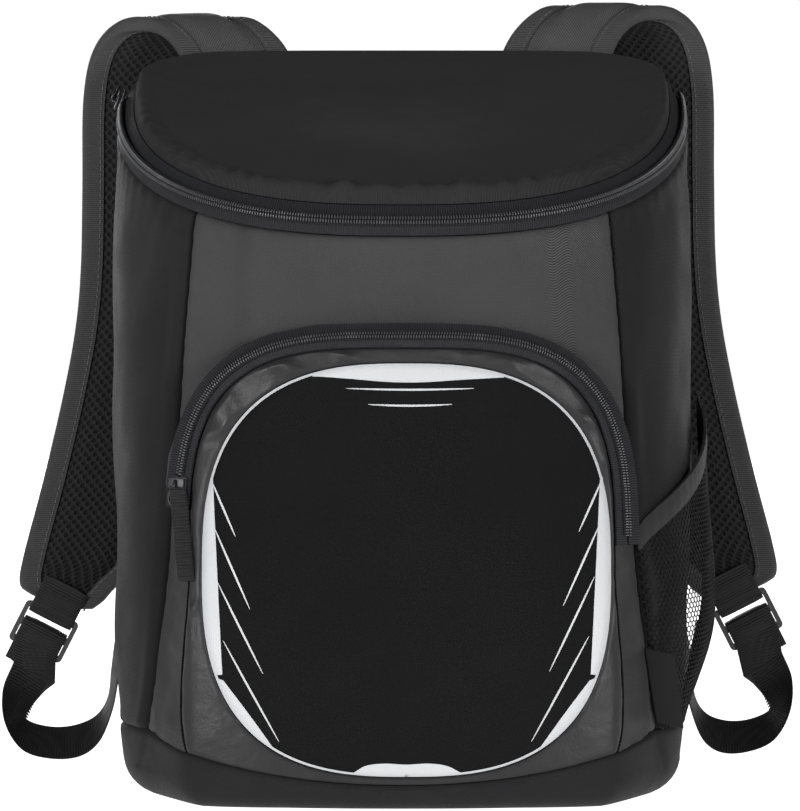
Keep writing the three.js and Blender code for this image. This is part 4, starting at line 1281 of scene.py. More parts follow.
def tube(name, path, radius, material, closed=False):
    """A round rod along points in millimetres."""
    path = np.asarray(path, float)
    if closed:
        ahead, behind = np.roll(path, -1, axis=0), np.roll(path, 1, axis=0)
    else:
        ahead, behind = np.concatenate([path[1:], path[-1:]]), np.concatenate([path[:1], path[:-1]])
    along = unit(ahead - behind)
    normal = np.linalg.svd(path - path.mean(axis=0))[2][-1]
    first = unit(np.broadcast_to(normal, along.shape) - along * (along @ normal)[:, None])
    second = np.cross(along, first)
    turns = np.linspace(0, 2 * PI, 10, endpoint=False)
    rings = np.stack([path + first * radius * math.cos(t) + second * radius * math.sin(t) for t in turns], 1)
    if closed:
        rings = np.concatenate([rings, rings[:1]])
    return closed_skin(name, rings, material, ends=not closed)


def slider(name, point, across, out, along, node):
    """A zip slider: two wings, a waist, a bridge and the ring that carries the pull."""
    metal = finish("slider_metal")
    parts = [
        block((8.6, 5.4, 1.3), 0.5, (0, 2.6, 2.6)),
        block((6.6, 6.4, 1.3), 0.5, (0, -1.8, 2.6)),
        block((8.8, 11.2, 1.0), 0.4, (0, 0.4, 0.2)),
    ]
    for part in parts:
        part.data.materials.append(metal)
    bridge = [(0, -4.2, 3.0), (0, -3.9, 4.4), (0, -2, 5.4), (0, 1.2, 5.4), (0, 3.2, 4.4), (0, 3.6, 3.0)]
    parts.append(tube("bridge", through(bridge, 18), 0.75, metal))
    turns = np.linspace(0, 2 * PI, 28, endpoint=False)
    loop = np.stack([2.6 * np.cos(turns), -4.6 + 4.4 * np.sin(turns), 4.3 + 0.5 * np.sin(turns)], -1)
    parts.append(tube("ring", loop, 0.6, metal, closed=True))
    obj = joined(name, parts)
    basis = Matrix([[*v, 0] for v in zip(across, along, out)] + [[0, 0, 0, 1]])
    if basis.determinant() < 0:
        basis = Matrix([[*v, 0] for v in zip(-np.asarray(across), along, out)] + [[0, 0, 0, 1]])
    obj.data.transform(Matrix.Translation(Vector(point) * MM) @ basis)
    dress(obj, "black_plastic", node)


class COOLER_OT_lid_zip(bpy.types.Operator):
    """The lid's zip: two tapes, coil and slider"""

    bl_idname = "cooler.lid_zip"
    bl_label = "Lid zip"

    def execute(self, context):
        low, high = (0.2, -TAPE_DROP + 0.1), (1.9, -0.35)
        rim_strip("lid_zip_tape_lower_cloth", low, high, "lid_zip_tape_lower")
        low, high = (2.7, 0.35), (LID_INSET - 0.6, LID_RISE - 1.1)
        rim_strip("lid_zip_tape_upper_cloth", low, high, "lid_zip_tape_upper")
        angle = np.linspace(math.radians(-89), LID_ZIP_END, 420)
        point, across, out, along = lid_coil_frame(angle)
        teeth("lid_zip_coil_teeth", point, across, out, "lid_zip_coil")
        point, across, out, along = (v[0] for v in lid_coil_frame(np.array([math.radians(-100)])))
        slider("lid_zip_slider_metal", point, across, out, along, "lid_zip_slider")
        return {"FINISHED"}


# Front pocket


def skin_point(x, z, inset, crown=0.0):
    """A point of the pocket's front, moved in square to its skin."""
    d = 0.5
    slope_x = (pocket_skin(x + d, z) - pocket_skin(x - d, z)) / (2 * d)
    slope_z = (pocket_skin(x, z + d) - pocket_skin(x, z - d)) / (2 * d)
    inwards = unit(np.stack([-slope_x, np.ones_like(slope_x), -slope_z], -1))
    base = np.stack(np.broadcast_arrays(x, pocket_skin(x, z) - crown, z), -1)
    return base + inwards * np.asarray(inset)[..., None]


def roundness(turn, across, up, power):
    return ((np.abs(np.sin(turn)) / across) ** power + (np.abs(np.cos(turn)) / up) ** power) ** (-1 / power)


def panel_outline(turn, grow_by):
    radius = roundness(turn, PANEL_HALF_WIDTH + grow_by, PANEL_HALF_HEIGHT + grow_by, PANEL_ROUNDNESS)
    return PANEL_SHIFT + radius * np.sin(turn), POCKET_MIDDLE + radius * np.cos(turn)


def border_outline(turn):
    c = np.cos(turn)
    below = c < 0
    flare = np.where(below, BORDER_FLARE * smoothstep(-c, 0, 0.6), 0)
    up = np.where(below, POCKET_MIDDLE - BOOT_FRONT, BORDER_HALF_HEIGHT)
    power = np.where(below, 9.0, BORDER_ROUNDNESS)
    radius = roundness(turn, BORDER_HALF_WIDTH + flare, up, power)
    x = radius * np.sin(turn)
    return x, np.maximum(POCKET_MIDDLE + radius * c, boot_seam_at(x) + 0.55)


def pocket_edge(turn, out, back, inset=0.0):
    """A point off the border's outer edge: out from it across the front, and back towards the tub."""
    x, z = border_outline(turn)
    (x1, z1), (x0, z0) = border_outline(turn + 0.01), border_outline(turn - 0.01)
    size = np.maximum(np.hypot(x1 - x0, z1 - z0), 1e-9)
    tx, tz = (x1 - x0) / size, (z1 - z0) / size
    grow_by = out - 0.7 * inset
    return np.stack([x - tz * grow_by, pocket_skin(x, z) + back + 0.7 * inset, z + tx * grow_by], -1)


def turn_at(x, z):
    return math.atan2(x, z - POCKET_MIDDLE)


zip_turns = (turn_at(-BORDER_HALF_WIDTH, ZIP_END_LEFT), turn_at(BORDER_HALF_WIDTH, ZIP_END_RIGHT))
gusset_turn = turn_at(BORDER_HALF_WIDTH + BORDER_FLARE, BOOT_CORNER)


def panel_surface(x, z, lift=0.0):
    """The inner panel's skin, crowned and slightly slack, at a point of the front."""
    dx, dz = x - PANEL_SHIFT, z - POCKET_MIDDLE
    turn = np.arctan2(dx, dz)
    radius = roundness(turn, PANEL_HALF_WIDTH, PANEL_HALF_HEIGHT, PANEL_ROUNDNESS)
    share = np.clip(np.hypot(dx, dz) / radius, 0, 1)
    place = np.stack([x, 0 * x, z], -1)
    fade = 1 - share**6
    slack = fade * (0.75 * ripple(place, 80, 81) + 0.35 * ripple(place, 34, 82))
    edge = 1.1 * np.clip((share - 0.965) / 0.035, 0, 1) ** 2
    crown = PANEL_CROWN * (1 - share**3) + slack - edge
    return skin_point(x, z, -lift + 0 * x, crown)


# Tents in the border's cloth that run in from its outer seam: turn, width, height and slant
border_tents = [
    (-0.27, 0.03, 0.9, 0.02), (-0.56, 0.045, 1.3, 0.07), (-0.86, 0.05, 1.2, -0.05), (-1.0, 0.035, 1.0, 0.09),
    (0.3, 0.05, 0.8, -0.04), (0.93, 0.045, 1.5, -0.08), (1.1, 0.04, 1.1, 0.06), (-1.78, 0.03, 0.9, 0.05),
    (1.75, 0.04, 0.7, -0.05), (-2.3, 0.06, 0.15, 0.05), (2.35, 0.06, 0.15, -0.05),
]


class COOLER_OT_pocket(bpy.types.Operator):
    """Front pocket: printed panel, coated border and gusset"""

    bl_idname = "cooler.pocket"
    bl_label = "Front pocket"

    def execute(self, context):
        turn = np.linspace(-PI, PI, 400, endpoint=False)
        edge_x, edge_z = panel_outline(turn, -PANEL_GAP)
        shares = np.concatenate([np.linspace(0, 0.9, 40), np.linspace(0.9, 1, 12)[1:]])
        outer, inner, flat = [], [], []
        for share in shares:
            x = lerp(PANEL_SHIFT, edge_x, share)
            z = lerp(POCKET_MIDDLE, edge_z, share)
            outer.append(panel_surface(x, z))
            inner.append(outer[-1] + [0, POCKET_WALL - 0.4, 0])
            flat.append(np.stack([x, z], -1) * MM)
        obj = shell(
            "pocket_panel_cloth", np.stack(outer, 1), np.stack(inner, 1), finish("pocket_cloth"),
            wrap=True, flat=np.stack(flat, 1),
        )
        dress(obj, "pocket_cloth", "pocket_panel")
        self.border(turn)
        self.gusset()
        self.trim()
        return {"FINISHED"}

    def border(self, turn):
        (ix, iz), (ox, oz) = panel_outline(turn, PANEL_GAP), border_outline(turn)
        outer, inner = [], []
        for share in dense_ends(22):
            x, z = lerp(ix, ox, share), lerp(iz, oz, share)
            width = np.hypot(ox - ix, oz - iz)
            near = np.minimum(share, 1 - share) * width
            place = np.stack([x, 0 * x, z], -1)
            room = smoothstep(near, 0, 3.5)
            high = 0.35 + 0.65 * smoothstep(z, 60, 150)
            fold = high * (crease(place, 42, 91) * 1.1 + 0.5 * ripple(place, 22, 93))
            pull = 0.35 * np.sin(turn * 46 + 1.5 * ripple(place, 40, 94)) * np.exp(-near / 3)
            outwards = 1 - share
            tents = sum(
                tall * np.exp(-(((turn - where - slant * outwards) / wide) ** 2))
                for where, wide, tall, slant in border_tents
            )
            inset = roll(near, 2.2, 1.0) - room * (fold * 0.7 + tents * (0.7 + 1.1 * share)) - 0.4 * pull
            outer.append(skin_point(x, z, inset))
            inner.append(skin_point(x, z, np.maximum(POCKET_WALL, inset + 0.8)))
        outer, inner = np.stack(outer, 1), np.stack(inner, 1)
        obj = shell("pocket_border_cloth", outer, inner, finish("coated_cloth"), wrap=True)
        dress(obj, "coated_cloth", "pocket_border")

    def gusset(self):
        turn = np.linspace(-gusset_turn - 0.05, gusset_turn + 0.05, 380)
        zipped = np.minimum(
            smoothstep(turn, zip_turns[0] - 0.05, zip_turns[0]),
            1 - smoothstep(turn, zip_turns[1], zip_turns[1] + 0.05),
        )
        _, edge_z = border_outline(turn)
        root_out = lerp(GUSSET_LOW, GUSSET_HIGH, smoothstep(edge_z, BOOT_CORNER, ZIP_END_LEFT))

        def lip(inset):
            return pocket_edge(turn, lerp(0.35, 12.4, zipped), lerp(0.8, 7.0, zipped), inset)

        def root(inset):
            p = pocket_edge(turn, root_out - inset, 0)
            return np.stack([p[:, 0], tub_front(p[:, 0], p[:, 2]) - 0.95, p[:, 2]], -1)

        outer, inner = [], []
        for down in dense_ends(14):
            place = lerp(lip(0), root(0), down)
            bow = math.sin(PI * down) * (0.5 + 0.8 * ripple(place, 45, 101) + 0.5 * ripple(place, 16, 102))
            outward = np.stack([np.sin(turn), 0 * turn - 0.3, np.cos(turn)], -1)
            bowed = place + outward * bow[:, None]
            bowed[:, 2] = np.maximum(bowed[:, 2], boot_seam_at(bowed[:, 0]) + SEAM_GAP)
            outer.append(bowed)
            inner.append(lerp(lip(POCKET_WALL), root(POCKET_WALL), down))
        obj = shell("pocket_gusset_cloth", np.stack(outer, 1), np.stack(inner, 1), finish("gusset_cloth"))
        dress(obj, "shell_cloth", "pocket_gusset")

    def trim(self):
        """Pale printed outline, bands and tapered lines."""
        ink = finish("print")
        bands = []
        turn = np.linspace(-PI, PI, 401)
        ring = [np.stack(panel_outline(turn, g), -1) for g in (-0.35, -1.5)]
        bands.append((ring[0], ring[1]))
        top = column([(-46, 0.2), (-30, 4.5), (-12, 7.6), (3, 8.4), (18, 7.6), (37, 4.5), (52, 0.2)])
        xs = np.linspace(-44, 50, 90)
        above = self.rim_z(xs, -1.2, 1)
        bands.append((np.stack([xs, above], -1), np.stack([xs, above - top(xs)], -1)))
        xs = np.linspace(-24, 29, 60)
        under = self.rim_z(xs, -1.2, -1)
        low = column([(-24, 0.1), (-18, 4.2), (-9, 5.8), (2, 5.4), (13, 5.8), (22, 4.2), (29, 0.1)])
        bands.append((np.stack([xs, under], -1), np.stack([xs, under + low(xs)], -1)))
        for side in (-1, 1):
            outer_turn = np.linspace(*(turn_at(*p) for p in ((97, 164), (92, 67))), 70)
            edge = np.stack(panel_outline(outer_turn, -1.2), -1)
            chord = np.linspace(0, 1, 70)[:, None]
            inner = lerp(edge[0], edge[-1] + [-2.9, 0.5], chord)
            bands.append((self.mirror(edge, side), self.mirror(inner, side)))
            outer_turn = np.linspace(*(turn_at(*p) for p in ((91, 66), (66, 30))), 60)
            edge = np.stack(panel_outline(outer_turn, -1.2), -1)
            chord = np.linspace(0, 1, 60)[:, None]
            bow = 0.3 * np.sin(PI * chord)
            start = edge[0] + [-3.0, -1.2]
            inner = lerp(start, edge[-1], chord) + bow * [-1, 0.6]
            bands.append((self.mirror(edge, side), self.mirror(inner, side)))
        for (x0, z0), (x1, z1) in (
            ((-94.4, 162.5), (-81.8, 134.5)), ((-92.5, 138.9), (-74.5, 99.2)),
            ((-90.6, 111.9), (-68.1, 67.7)), ((-87.7, 83.4), (-60.3, 34.2)),
            ((99.8, 164.4), (86.7, 136.5)), ((97.4, 140.4), (78.9, 100.6)),
            ((94.5, 114.4), (72.1, 68.7)), ((91.6, 85.4), (63.3, 34.2)),
            ((-27.4, 207.0), (35.2, 207.0)), ((-16.6, 199.2), (24.5, 199.2)),
        ):
            t = np.linspace(0, 1, 40)[:, None]
            line = lerp(np.array([x0, z0]), np.array([x1, z1]), t)
            if abs(z0 - z1) < 1:
                line = line + [0, -1.0] * np.sin(PI * t) * 0.6
            across = np.array([-(z1 - z0), x1 - x0]) / math.hypot(x1 - x0, z1 - z0)
            half = 0.5 * np.sin(PI * np.clip(t * 0.96 + 0.02, 0, 1)) ** 0.55
            bands.append((line + across * half, line - across * half))
        parts = []
        for k, (one, other) in enumerate(bands):
            shares = np.linspace(0, 1, 9 if k else 3)
            grid = np.stack([lerp(one, other, s) for s in shares], 1)
            outer = panel_surface(grid[..., 0], grid[..., 1], 0.16)
            inner = panel_surface(grid[..., 0], grid[..., 1], -0.05)
            parts.append(shell(f"print_{k}", outer, inner, ink, flat=grid * MM))
        dress(joined("pocket_print", parts), "pocket_cloth")

    def rim_z(self, xs, grow_by, up):
        turn = np.linspace(0, 2 * PI, 1441)
        px, pz = panel_outline(turn, grow_by)
        keep = (pz - POCKET_MIDDLE) * up > 40
        order = np.argsort(px[keep])
        return np.interp(xs, px[keep][order], pz[keep][order])

    def mirror(self, line, side):
        return line if side > 0 else np.stack([2 * PANEL_SHIFT - line[:, 0], line[:, 1]], -1)


def pocket_strip(name, low, high, node):
    turn = np.linspace(zip_turns[0] - 0.04, zip_turns[1] + 0.045, 360)
    outer, inner = [], []
    for share in np.linspace(0, 1, 9):
        out, back = lerp(low[0], high[0], share), lerp(low[1], high[1], share)
        place = pocket_edge(turn, out, back)
        wave = 0.25 * ripple(place, 24, 111) * math.sin(PI * share)
        outer.append(pocket_edge(turn, out, back + wave))
        inner.append(pocket_edge(turn, out, back, TAPE_THICKNESS))
    obj = shell(name, np.stack(outer, 1), np.stack(inner, 1), finish("zip_tape"))
    dress(obj, "zip_tape", node)


def pocket_coil_frame(turn):
    seat = 6.6, 1.4
    point = pocket_edge(turn, *seat)
    across = unit(pocket_edge(turn, 9, 3) - pocket_edge(turn, 4, 1))
    along = unit(pocket_edge(turn + 0.02, *seat) - pocket_edge(turn - 0.02, *seat))
    out = unit(np.cross(across, along))
    return point, across, out * -np.sign(out[..., 1:2]), along


class COOLER_OT_pocket_zip(bpy.types.Operator):
    """The pocket's zip: two tapes, coil, slider and ribbed pull"""

    bl_idname = "cooler.pocket_zip"
    bl_label = "Pocket zip"

    def execute(self, context):
        pocket_strip("pocket_zip_tape_inner_cloth", (1.0, 0.5), (6.0, 1.6), "pocket_zip_tape_inner")
        pocket_strip("pocket_zip_tape_outer_cloth", (7.0, 2.2), (12.3, 6.3), "pocket_zip_tape_outer")
        turn = np.linspace(turn_at(-BORDER_HALF_WIDTH, ZIP_END_LEFT + 12), zip_turns[1], 420)
        point, across, out, _ = pocket_coil_frame(turn)
        teeth("pocket_zip_coil_teeth", point, across, out, "pocket_zip_coil", 0.78)
        place = np.array([turn_at(-BORDER_HALF_WIDTH, ZIP_END_LEFT + 4.8)])
        point, across, out, along = (v[0] for v in pocket_coil_frame(place))
        slider("pocket_zip_slider_metal", point, across, out, along, "pocket_zip_slider")
        self.pull(point)
        return {"FINISHED"}

    def pull(self, top):
        down = np.linspace(0, 1, 60)
        z = top[2] + 1 - 46 * down
        x = top[0] + 4.5 * down
        y = np.minimum(pocket_skin(-BORDER_HALF_WIDTH + 0 * z, z) - 2.4, top[1] - 5.8) - 0.5
        centre = np.stack([x, y, z], -1)
        along = unit(np.gradient(centre, axis=0))
        across = np.array([1.0, 0, 0])
        out = unit(np.cross(along, across) * -1)
        out = out * -np.sign(out[:, 1:2])
        turns = np.linspace(0, 2 * PI, 16, endpoint=False)
        taper = np.clip(np.minimum(down / 0.04, (1 - down) / 0.03), 0, 1) ** 0.5
        size = [(np.sign(math.cos(t)) * abs(math.cos(t)) ** 0.5 * 4.2, math.sin(t) * 1.0) for t in turns]
        wide = 0.75 + 0.25 * taper
        grid = np.stack(
            [centre + across * (a * wide)[:, None] + out * (b * taper)[:, None] for a, b in size], 1
        )
        core = closed_skin("pull_core", grid, finish("webbing"), ends=True)
        line = centre[6:-2] + out[6:-2] * 0.75
        ribs = repeat("pull_ribs", [(line, out[6:-2])], cross_bar(8.4, 1.15, 1.2), 1.75, finish("webbing"))
        dress(joined("pocket_zip_pull_webbing", [core, ribs]), "webbing", "pocket_zip_pull")


# Net side pocket


# How far the net stands out, against the share of the way up
net_bulge_up = column([(0, 0), (0.15, 0.45), (0.38, 1), (0.65, 0.75), (1, 0.42)])


def net_top(across):
    return lerp(NET_FRONT, NET_BACK, np.clip(across, 0, 2) ** 0.75)


def net_point(across, z, out):
    """A point of the net's slack surface, from the front seam (0) to its rear edge (1)."""
    rise = np.clip((z - BOOT_CORNER) / (ZIP_FRONT - BOOT_CORNER), 0, 1)
    angle = lerp(seam_angle(rise) + 0.008, NET_BACK_ANGLE, across)
    up = np.clip((z - NET_LOW) / (net_top(across) - NET_LOW), 0, 1)
    bulge = np.sin(PI * np.clip(across / 0.7, 0, 1) / 2) ** 1.3 * (1 - 0.35 * smoothstep(across, 0.75, 1))
    return tub_point(angle, z, -0.35 - NET_BULGE * net_bulge_up(up) * bulge - out)


class COOLER_OT_side_pocket(bpy.types.Operator):
    """Net side pocket with its elastic band and binding"""

    bl_idname = "cooler.side_pocket"
    bl_label = "Side pocket"

    def execute(self, context):
        sizes = context.scene.cooler_sizes
        pitch = sizes.net_pitch / MM
        side = pitch / math.sqrt(3)
        points, edges, index = [], [], {}

        def vertex(s, z):
            key = (round(s * 20), round(z * 20))
            if key not in index:
                index[key] = len(points)
                points.append((s, z))
            return index[key]

        for row in range(int((NET_BACK + 2) / (1.5 * side)) + 2):
            for step in range(int(NET_WIDTH / pitch) + 3):
                s0 = (step - 1 + 0.5 * (row % 2)) * pitch
                z0 = NET_LOW + row * 1.5 * side
                turns = [k * PI / 3 for k in range(6)]
                corners = [vertex(s0 + side * math.sin(t), z0 + side * math.cos(t)) for t in turns]
                edges += [tuple(sorted((corners[k], corners[(k + 1) % 6]))) for k in range(6)]
        flat = np.array(points)
        edges = sorted(set(edges))
        across = flat[:, 0] / NET_WIDTH
        top = net_top(np.clip(across, 0, 1)) + 1
        inside = (across >= 0) & (across <= 1) & (flat[:, 1] <= top) & (flat[:, 1] >= BOOT_CORNER)
        edges = [e for e in edges if inside[e[0]] or inside[e[1]]]
        across = np.clip(across, 0, 1)
        z = np.clip(flat[:, 1], BOOT_CORNER, net_top(across) + 1)
        slack = 0.9 * ripple(np.stack([flat[:, 0], 0 * z, z], -1), 46, 121)
        loose = smoothstep(across, 0, 0.25) * smoothstep(1 - across, 0, 0.2)
        place = net_point(across, z, 0.5 + slack * loose)
        used = sorted({v for e in edges for v in e})
        rank = {v: k for k, v in enumerate(used)}
        mesh = bpy.data.meshes.new("guide")
        mesh.from_pydata((place[used] * MM).tolist(), [(rank[a], rank[b]) for a, b in edges], [])
        guide = bpy.data.objects.new("guide", mesh)
        context.scene.collection.objects.link(guide)
        net = grow(
            "side_pocket_net_threads", guide, made("thread", thread_tree),
            {"Radius": sizes.net_thread, "Sides": sizes.thread_sides, "Material": finish("net")},
        )
        dress(net, "net", "side_pocket_net")

        across, up = np.meshgrid(np.linspace(-0.01, 1, 90), np.linspace(0, 1, 12), indexing="ij")
        z = net_top(np.clip(across, 0, 1)) + lerp(-0.6, 11, up)
        puff = 0.35 * np.sin(across * 140) * 0.4 + 0.4 * np.sin(PI * up)
        outer, inner = net_point(across, z, 1.5 + puff), net_point(across, z, 0.0)
        band = shell("side_pocket_band_webbing", outer, inner, finish("band_cloth"))
        dress(band, "webbing", "side_pocket_band")
        across, up = np.meshgrid(np.linspace(1.02, 1.12, 14), np.linspace(0, 1, 40), indexing="ij")
        z = lerp(BOOT_CORNER + 1, 78, up)
        outer, inner = net_point(across, z, 2.0), net_point(across, z, 0.2)
        strip = shell("side_pocket_binding_webbing", outer, inner, finish("band_cloth"))
        dress(strip, "webbing", "side_pocket_binding")
        self.label()
        return {"FINISHED"}

    def label(self):
        across, down = np.meshgrid(np.linspace(0, 1, 14), np.linspace(0, 1, 36), indexing="ij")
        z = lerp(BOOT_CORNER + 42, BOOT_CORNER + 4.6, down)

        def at(out):
            rise = np.maximum((z - BOOT_CORNER) / (ZIP_FRONT - BOOT_CORNER), 0)
            lift = 2.1 + across * 6.4 + out + 0.5 * np.sin(PI * down) * across
            return tub_point(seam_angle(rise) - 0.026 + across * (11 / HALF_WIDTH), z - 4 * across, -lift)

        dress(shell("side_label_cloth", at(1.0), at(0.0), finish("label_cloth")), "webbing", "side_label")


# Shoulder straps


# Stations along a strap from behind the lid to its lower tip: number, middle's X, Y and Z, and half width
strap_path = [
    (0, 84, 105.9, 350, 29.5),
    (1, 86, 107, 369, 29.5),
    (2, 94, 112, 383, 29.5),
    (3, 107, 121, 391.5, 30),
    (4, 122.5, 133, 390.5, 31.5),
    (5, 134, 144, 378, 32),
    (6, 139, 151, 352, 32.5),
    (7, 140, 157, 306, 32.5),
    (8, 141, 158, 262, 32.5),
    (9, 144, 155, 228, 32.5),
    (10, 151, 151, 190, 32.5),
    (11, 161, 146, 147, 32.5),
    (12, 171, 140.5, 108, 32.5),
    (13, 178.5, 137.8, 93, 27),
    (14, 178.5, 137.2, 87.5, 22),
    (15, 175.5, 136.8, 83, 15),
    (16, 174, 136.5, 79, 8),
]
STRAP_END = 16
strap_x, strap_y, strap_z, strap_half = (column(strap_path, 0, k) for k in (1, 2, 3, 4))


def strap_set(side):
    """How far the right strap hangs above the left one's place, and across from it."""
    return (6, -4) if side > 0 else (0, 0)


def strap_centre(side, at):
    lift, shift = strap_set(side)
    return np.stack([side * (strap_x(at) + shift), strap_y(at), strap_z(at) + lift], -1)


def strap_point(side, at, across, up):
    """A point of a strap: at a station, this far out from its middle and above its core."""
    at = np.asarray(at, float)
    ahead, before = np.minimum(at + 0.05, STRAP_END), np.maximum(at - 0.05, 0)
    slope = strap_centre(side, ahead) - strap_centre(side, before)
    normal = unit(np.stack([0 * at, -slope[..., 2], slope[..., 1]], -1))
    point = strap_centre(side, at) + normal * np.asarray(up)[..., None]
    point[..., 0] += side * across
    return point


def strap_stops():
    """Stations along the strap about 2 mm apart."""
    at = np.linspace(0, STRAP_END, 1600)
    line = strap_centre(1, at)
    so_far = np.concatenate([[0], np.cumsum(np.linalg.norm(np.diff(line, axis=0), axis=1))])
    return np.interp(np.linspace(0, so_far[-1], 230), so_far, at)


class COOLER_OT_straps(bpy.types.Operator):
    """Padded shoulder straps with mesh lining, binding and stitching"""

    bl_idname = "cooler.straps"
    bl_label = "Shoulder straps"

    def execute(self, context):
        stops = strap_stops()
        for name, side in (("left", -1), ("right", 1)):
            at, part = np.meshgrid(stops, np.sin(np.linspace(-PI / 2, PI / 2, 44)), indexing="ij")
            half = strap_half(at)
            across = part * (half - 2.6)
            padding = smoothstep(half - np.abs(across), 11.5, 21) * smoothstep(half, 22, 31)
            place = strap_point(side, at, across, 0 * at)
            soft = 0.45 * ripple(place, 60, 131 + side) + 0.15 * ripple(place, 25, 133)
            top = lerp(2.5, 5.2, padding) + soft * padding
            split = lerp(-0.6, -2.6, padding)
            under = lerp(-2.5, -5.0, padding)
            pad = shell(
                f"strap_pad_{name}_cloth",
                strap_point(side, at, across, top),
                strap_point(side, at, across, split + 0.2),
                finish("strap_cloth"), sharp=60,
            )
            dress(pad, "shell_cloth", f"strap_pad_{name}")
            lining = shell(
                f"strap_lining_{name}_mesh",
                strap_point(side, at, across, under),
                strap_point(side, at, across, split - 0.1),
                finish("spacer_mesh"), sharp=60,
            )
            dress(lining, "spacer_mesh", f"strap_lining_{name}")
            for where, edge in (("outer", 1), ("inner", -1)):
                self.binding(name, side, where, edge, stops)
        return {"FINISHED"}

    def binding(self, name, side, where, edge, stops):
        half = strap_half(stops)
        cover = np.minimum(12, half * 0.8)
        turns = np.linspace(-PI / 2, PI / 2, 9)
        outer, inner = [], []

        def add(inwards, up, rows):
            rows.append(strap_point(side, stops, edge * (half - inwards), up + 0 * half))

        for share in np.linspace(1, 0, 7)[:-1]:
            add(lerp(3.4, cover, share), -3.9 + 0.25 * share, outer)
            add(lerp(3.4, cover, share), -2.9, inner)
        for t in turns:
            add(3.4 - 3.3 * math.cos(t), 3.9 * math.sin(t), outer)
            add(3.4 - 2.0 * math.cos(t), 2.9 * math.sin(t), inner)
        for share in np.linspace(0, 1, 7)[1:]:
            add(lerp(3.4, cover, share), 3.9 - 0.25 * share, outer)
            add(lerp(3.4, cover, share), 2.9, inner)
        tape = shell(f"strap_tape_{name}_{where}", np.stack(outer, 1), np.stack(inner, 1), finish("binding"))
        sizes = bpy.context.scene.cooler_sizes
        lines = []
        for up in (3.95, -3.95):
            line = strap_point(side, stops, edge * (half - cover + 1.8), up + 0 * half)
            below = strap_point(side, stops, edge * (half - cover + 1.8), 0 * half)
            lines.append((line, unit(line - below)))
        shape = bar(sizes.stitch / MM, 0.62, 0.5, 5)
        spacing = sizes.stitch_spacing / MM
        stitches = repeat(f"stitches_{name}_{where}", lines, shape, spacing, finish("thread"))
        piece = joined(f"strap_binding_{name}_{where}_tape", [tape, stitches])
        dress(piece, "webbing", f"strap_binding_{name}_{where}")


# Ladder locks and webbing


def lock_basis(side):
    lift, shift = strap_set(side)
    across = np.array([math.cos(LOCK_TILT), 0, side * math.sin(LOCK_TILT)])
    upwards = np.array([-side * math.sin(LOCK_TILT), 0, math.cos(LOCK_TILT)])
    centre = np.array([side * (192.4 + 1.6 * shift), 136.5, 67.2 + lift * 1.1])
    return across, upwards, np.array([0, -1.0, 0]), centre


def lock_line(side, rows, count):
    """Edges of a ribbon bent round the lock's bars, from its rows of height and distance in front."""
    across, upwards, front, centre = lock_basis(side)
    line = through(rows, count)
    middle = centre + line[:, :1] * upwards + line[:, 1:] * front
    half = side * across * WEBBING_WIDTH / 2
    return middle - half, middle + half


# Ribbons through the lock: height above its middle, and distance in front of it
loop_rows = [
    (28, 5.4), (15, 5.4), (12.6, 4.9), (10.4, 3.3), (8.4, 3.3), (7.2, 2.1),
    (7.2, -2.1), (8.4, -3.3), (10.4, -3.3), (12.6, -5.6), (15, -6.2), (28, -8.3),
]
wrap_rows = [(-22, -5), (-13, -3.6), (1.9, -3.2), (3.1, -2), (3.1, 2), (1.9, 3.2), (-10, 3.2)]
# The adjuster webbing from its lock to its anchor: X, Y and Z of the outer edge, then of the inner one
webbing_path = [
    (208.6, 133.2, 50.5, 186.3, 134.2, 39.3),
    (213.8, 126, 36.3, 193.6, 138, 33),
    (211.5, 111, 20.5, 201.5, 133, 22.6),
    (202, 105, 6.8, 198.5, 126, 19.3),
    (187, 103, 2.2, 186.5, 123, 17),
    (171.5, 102, 3.4, 174.1, 122, 18.3),
    (160.7, 101, 11.5, 163.4, 123, 23.3),
    (153.8, 100, 27.8, 157.2, 124, 33.1),
    (150.4, 98, 43.9, 155.1, 122, 49.2),
    (147.2, 95, 57, 152.4, 116, 67),
    (144.2, 93.5, 66, 147.5, 109, 82),
]


def ribbon(name, one, other, ribs=True):
    """Flat webbing between two edge lines, with its woven ribs and rounded edges."""
    sizes, material = bpy.context.scene.cooler_sizes, finish("webbing")
    middle = (one + other) / 2
    along = unit(np.gradient(middle, axis=0))
    out = unit(np.cross(other - one, along))
    turns = np.linspace(0, 2 * PI, 24, endpoint=False)
    rings = []
    for t in turns:
        a = np.sign(math.cos(t)) * abs(math.cos(t)) ** 0.35
        b = np.sign(math.sin(t)) * abs(math.sin(t)) ** 0.6
        rings.append(lerp(one, other, 0.5 + 0.5 * a) + out * b * (WEBBING_THICKNESS / 2 - 0.12))
    grid = np.stack(rings, 1)
    core = closed_skin(name, grid, material, ends=True)
    if not ribs:
        return core
    width = float(np.linalg.norm(other - one, axis=1).min())
    lines = [(middle + out * side * (WEBBING_THICKNESS / 2 - 0.2), out * side) for side in (1, -1)]
    shape = cross_bar(width * 0.78, sizes.rib_spacing / MM * 0.8, 0.36)
    rows = repeat(name + "_ribs", lines, shape, sizes.rib_spacing / MM, material)
    return joined(name, [core, rows])


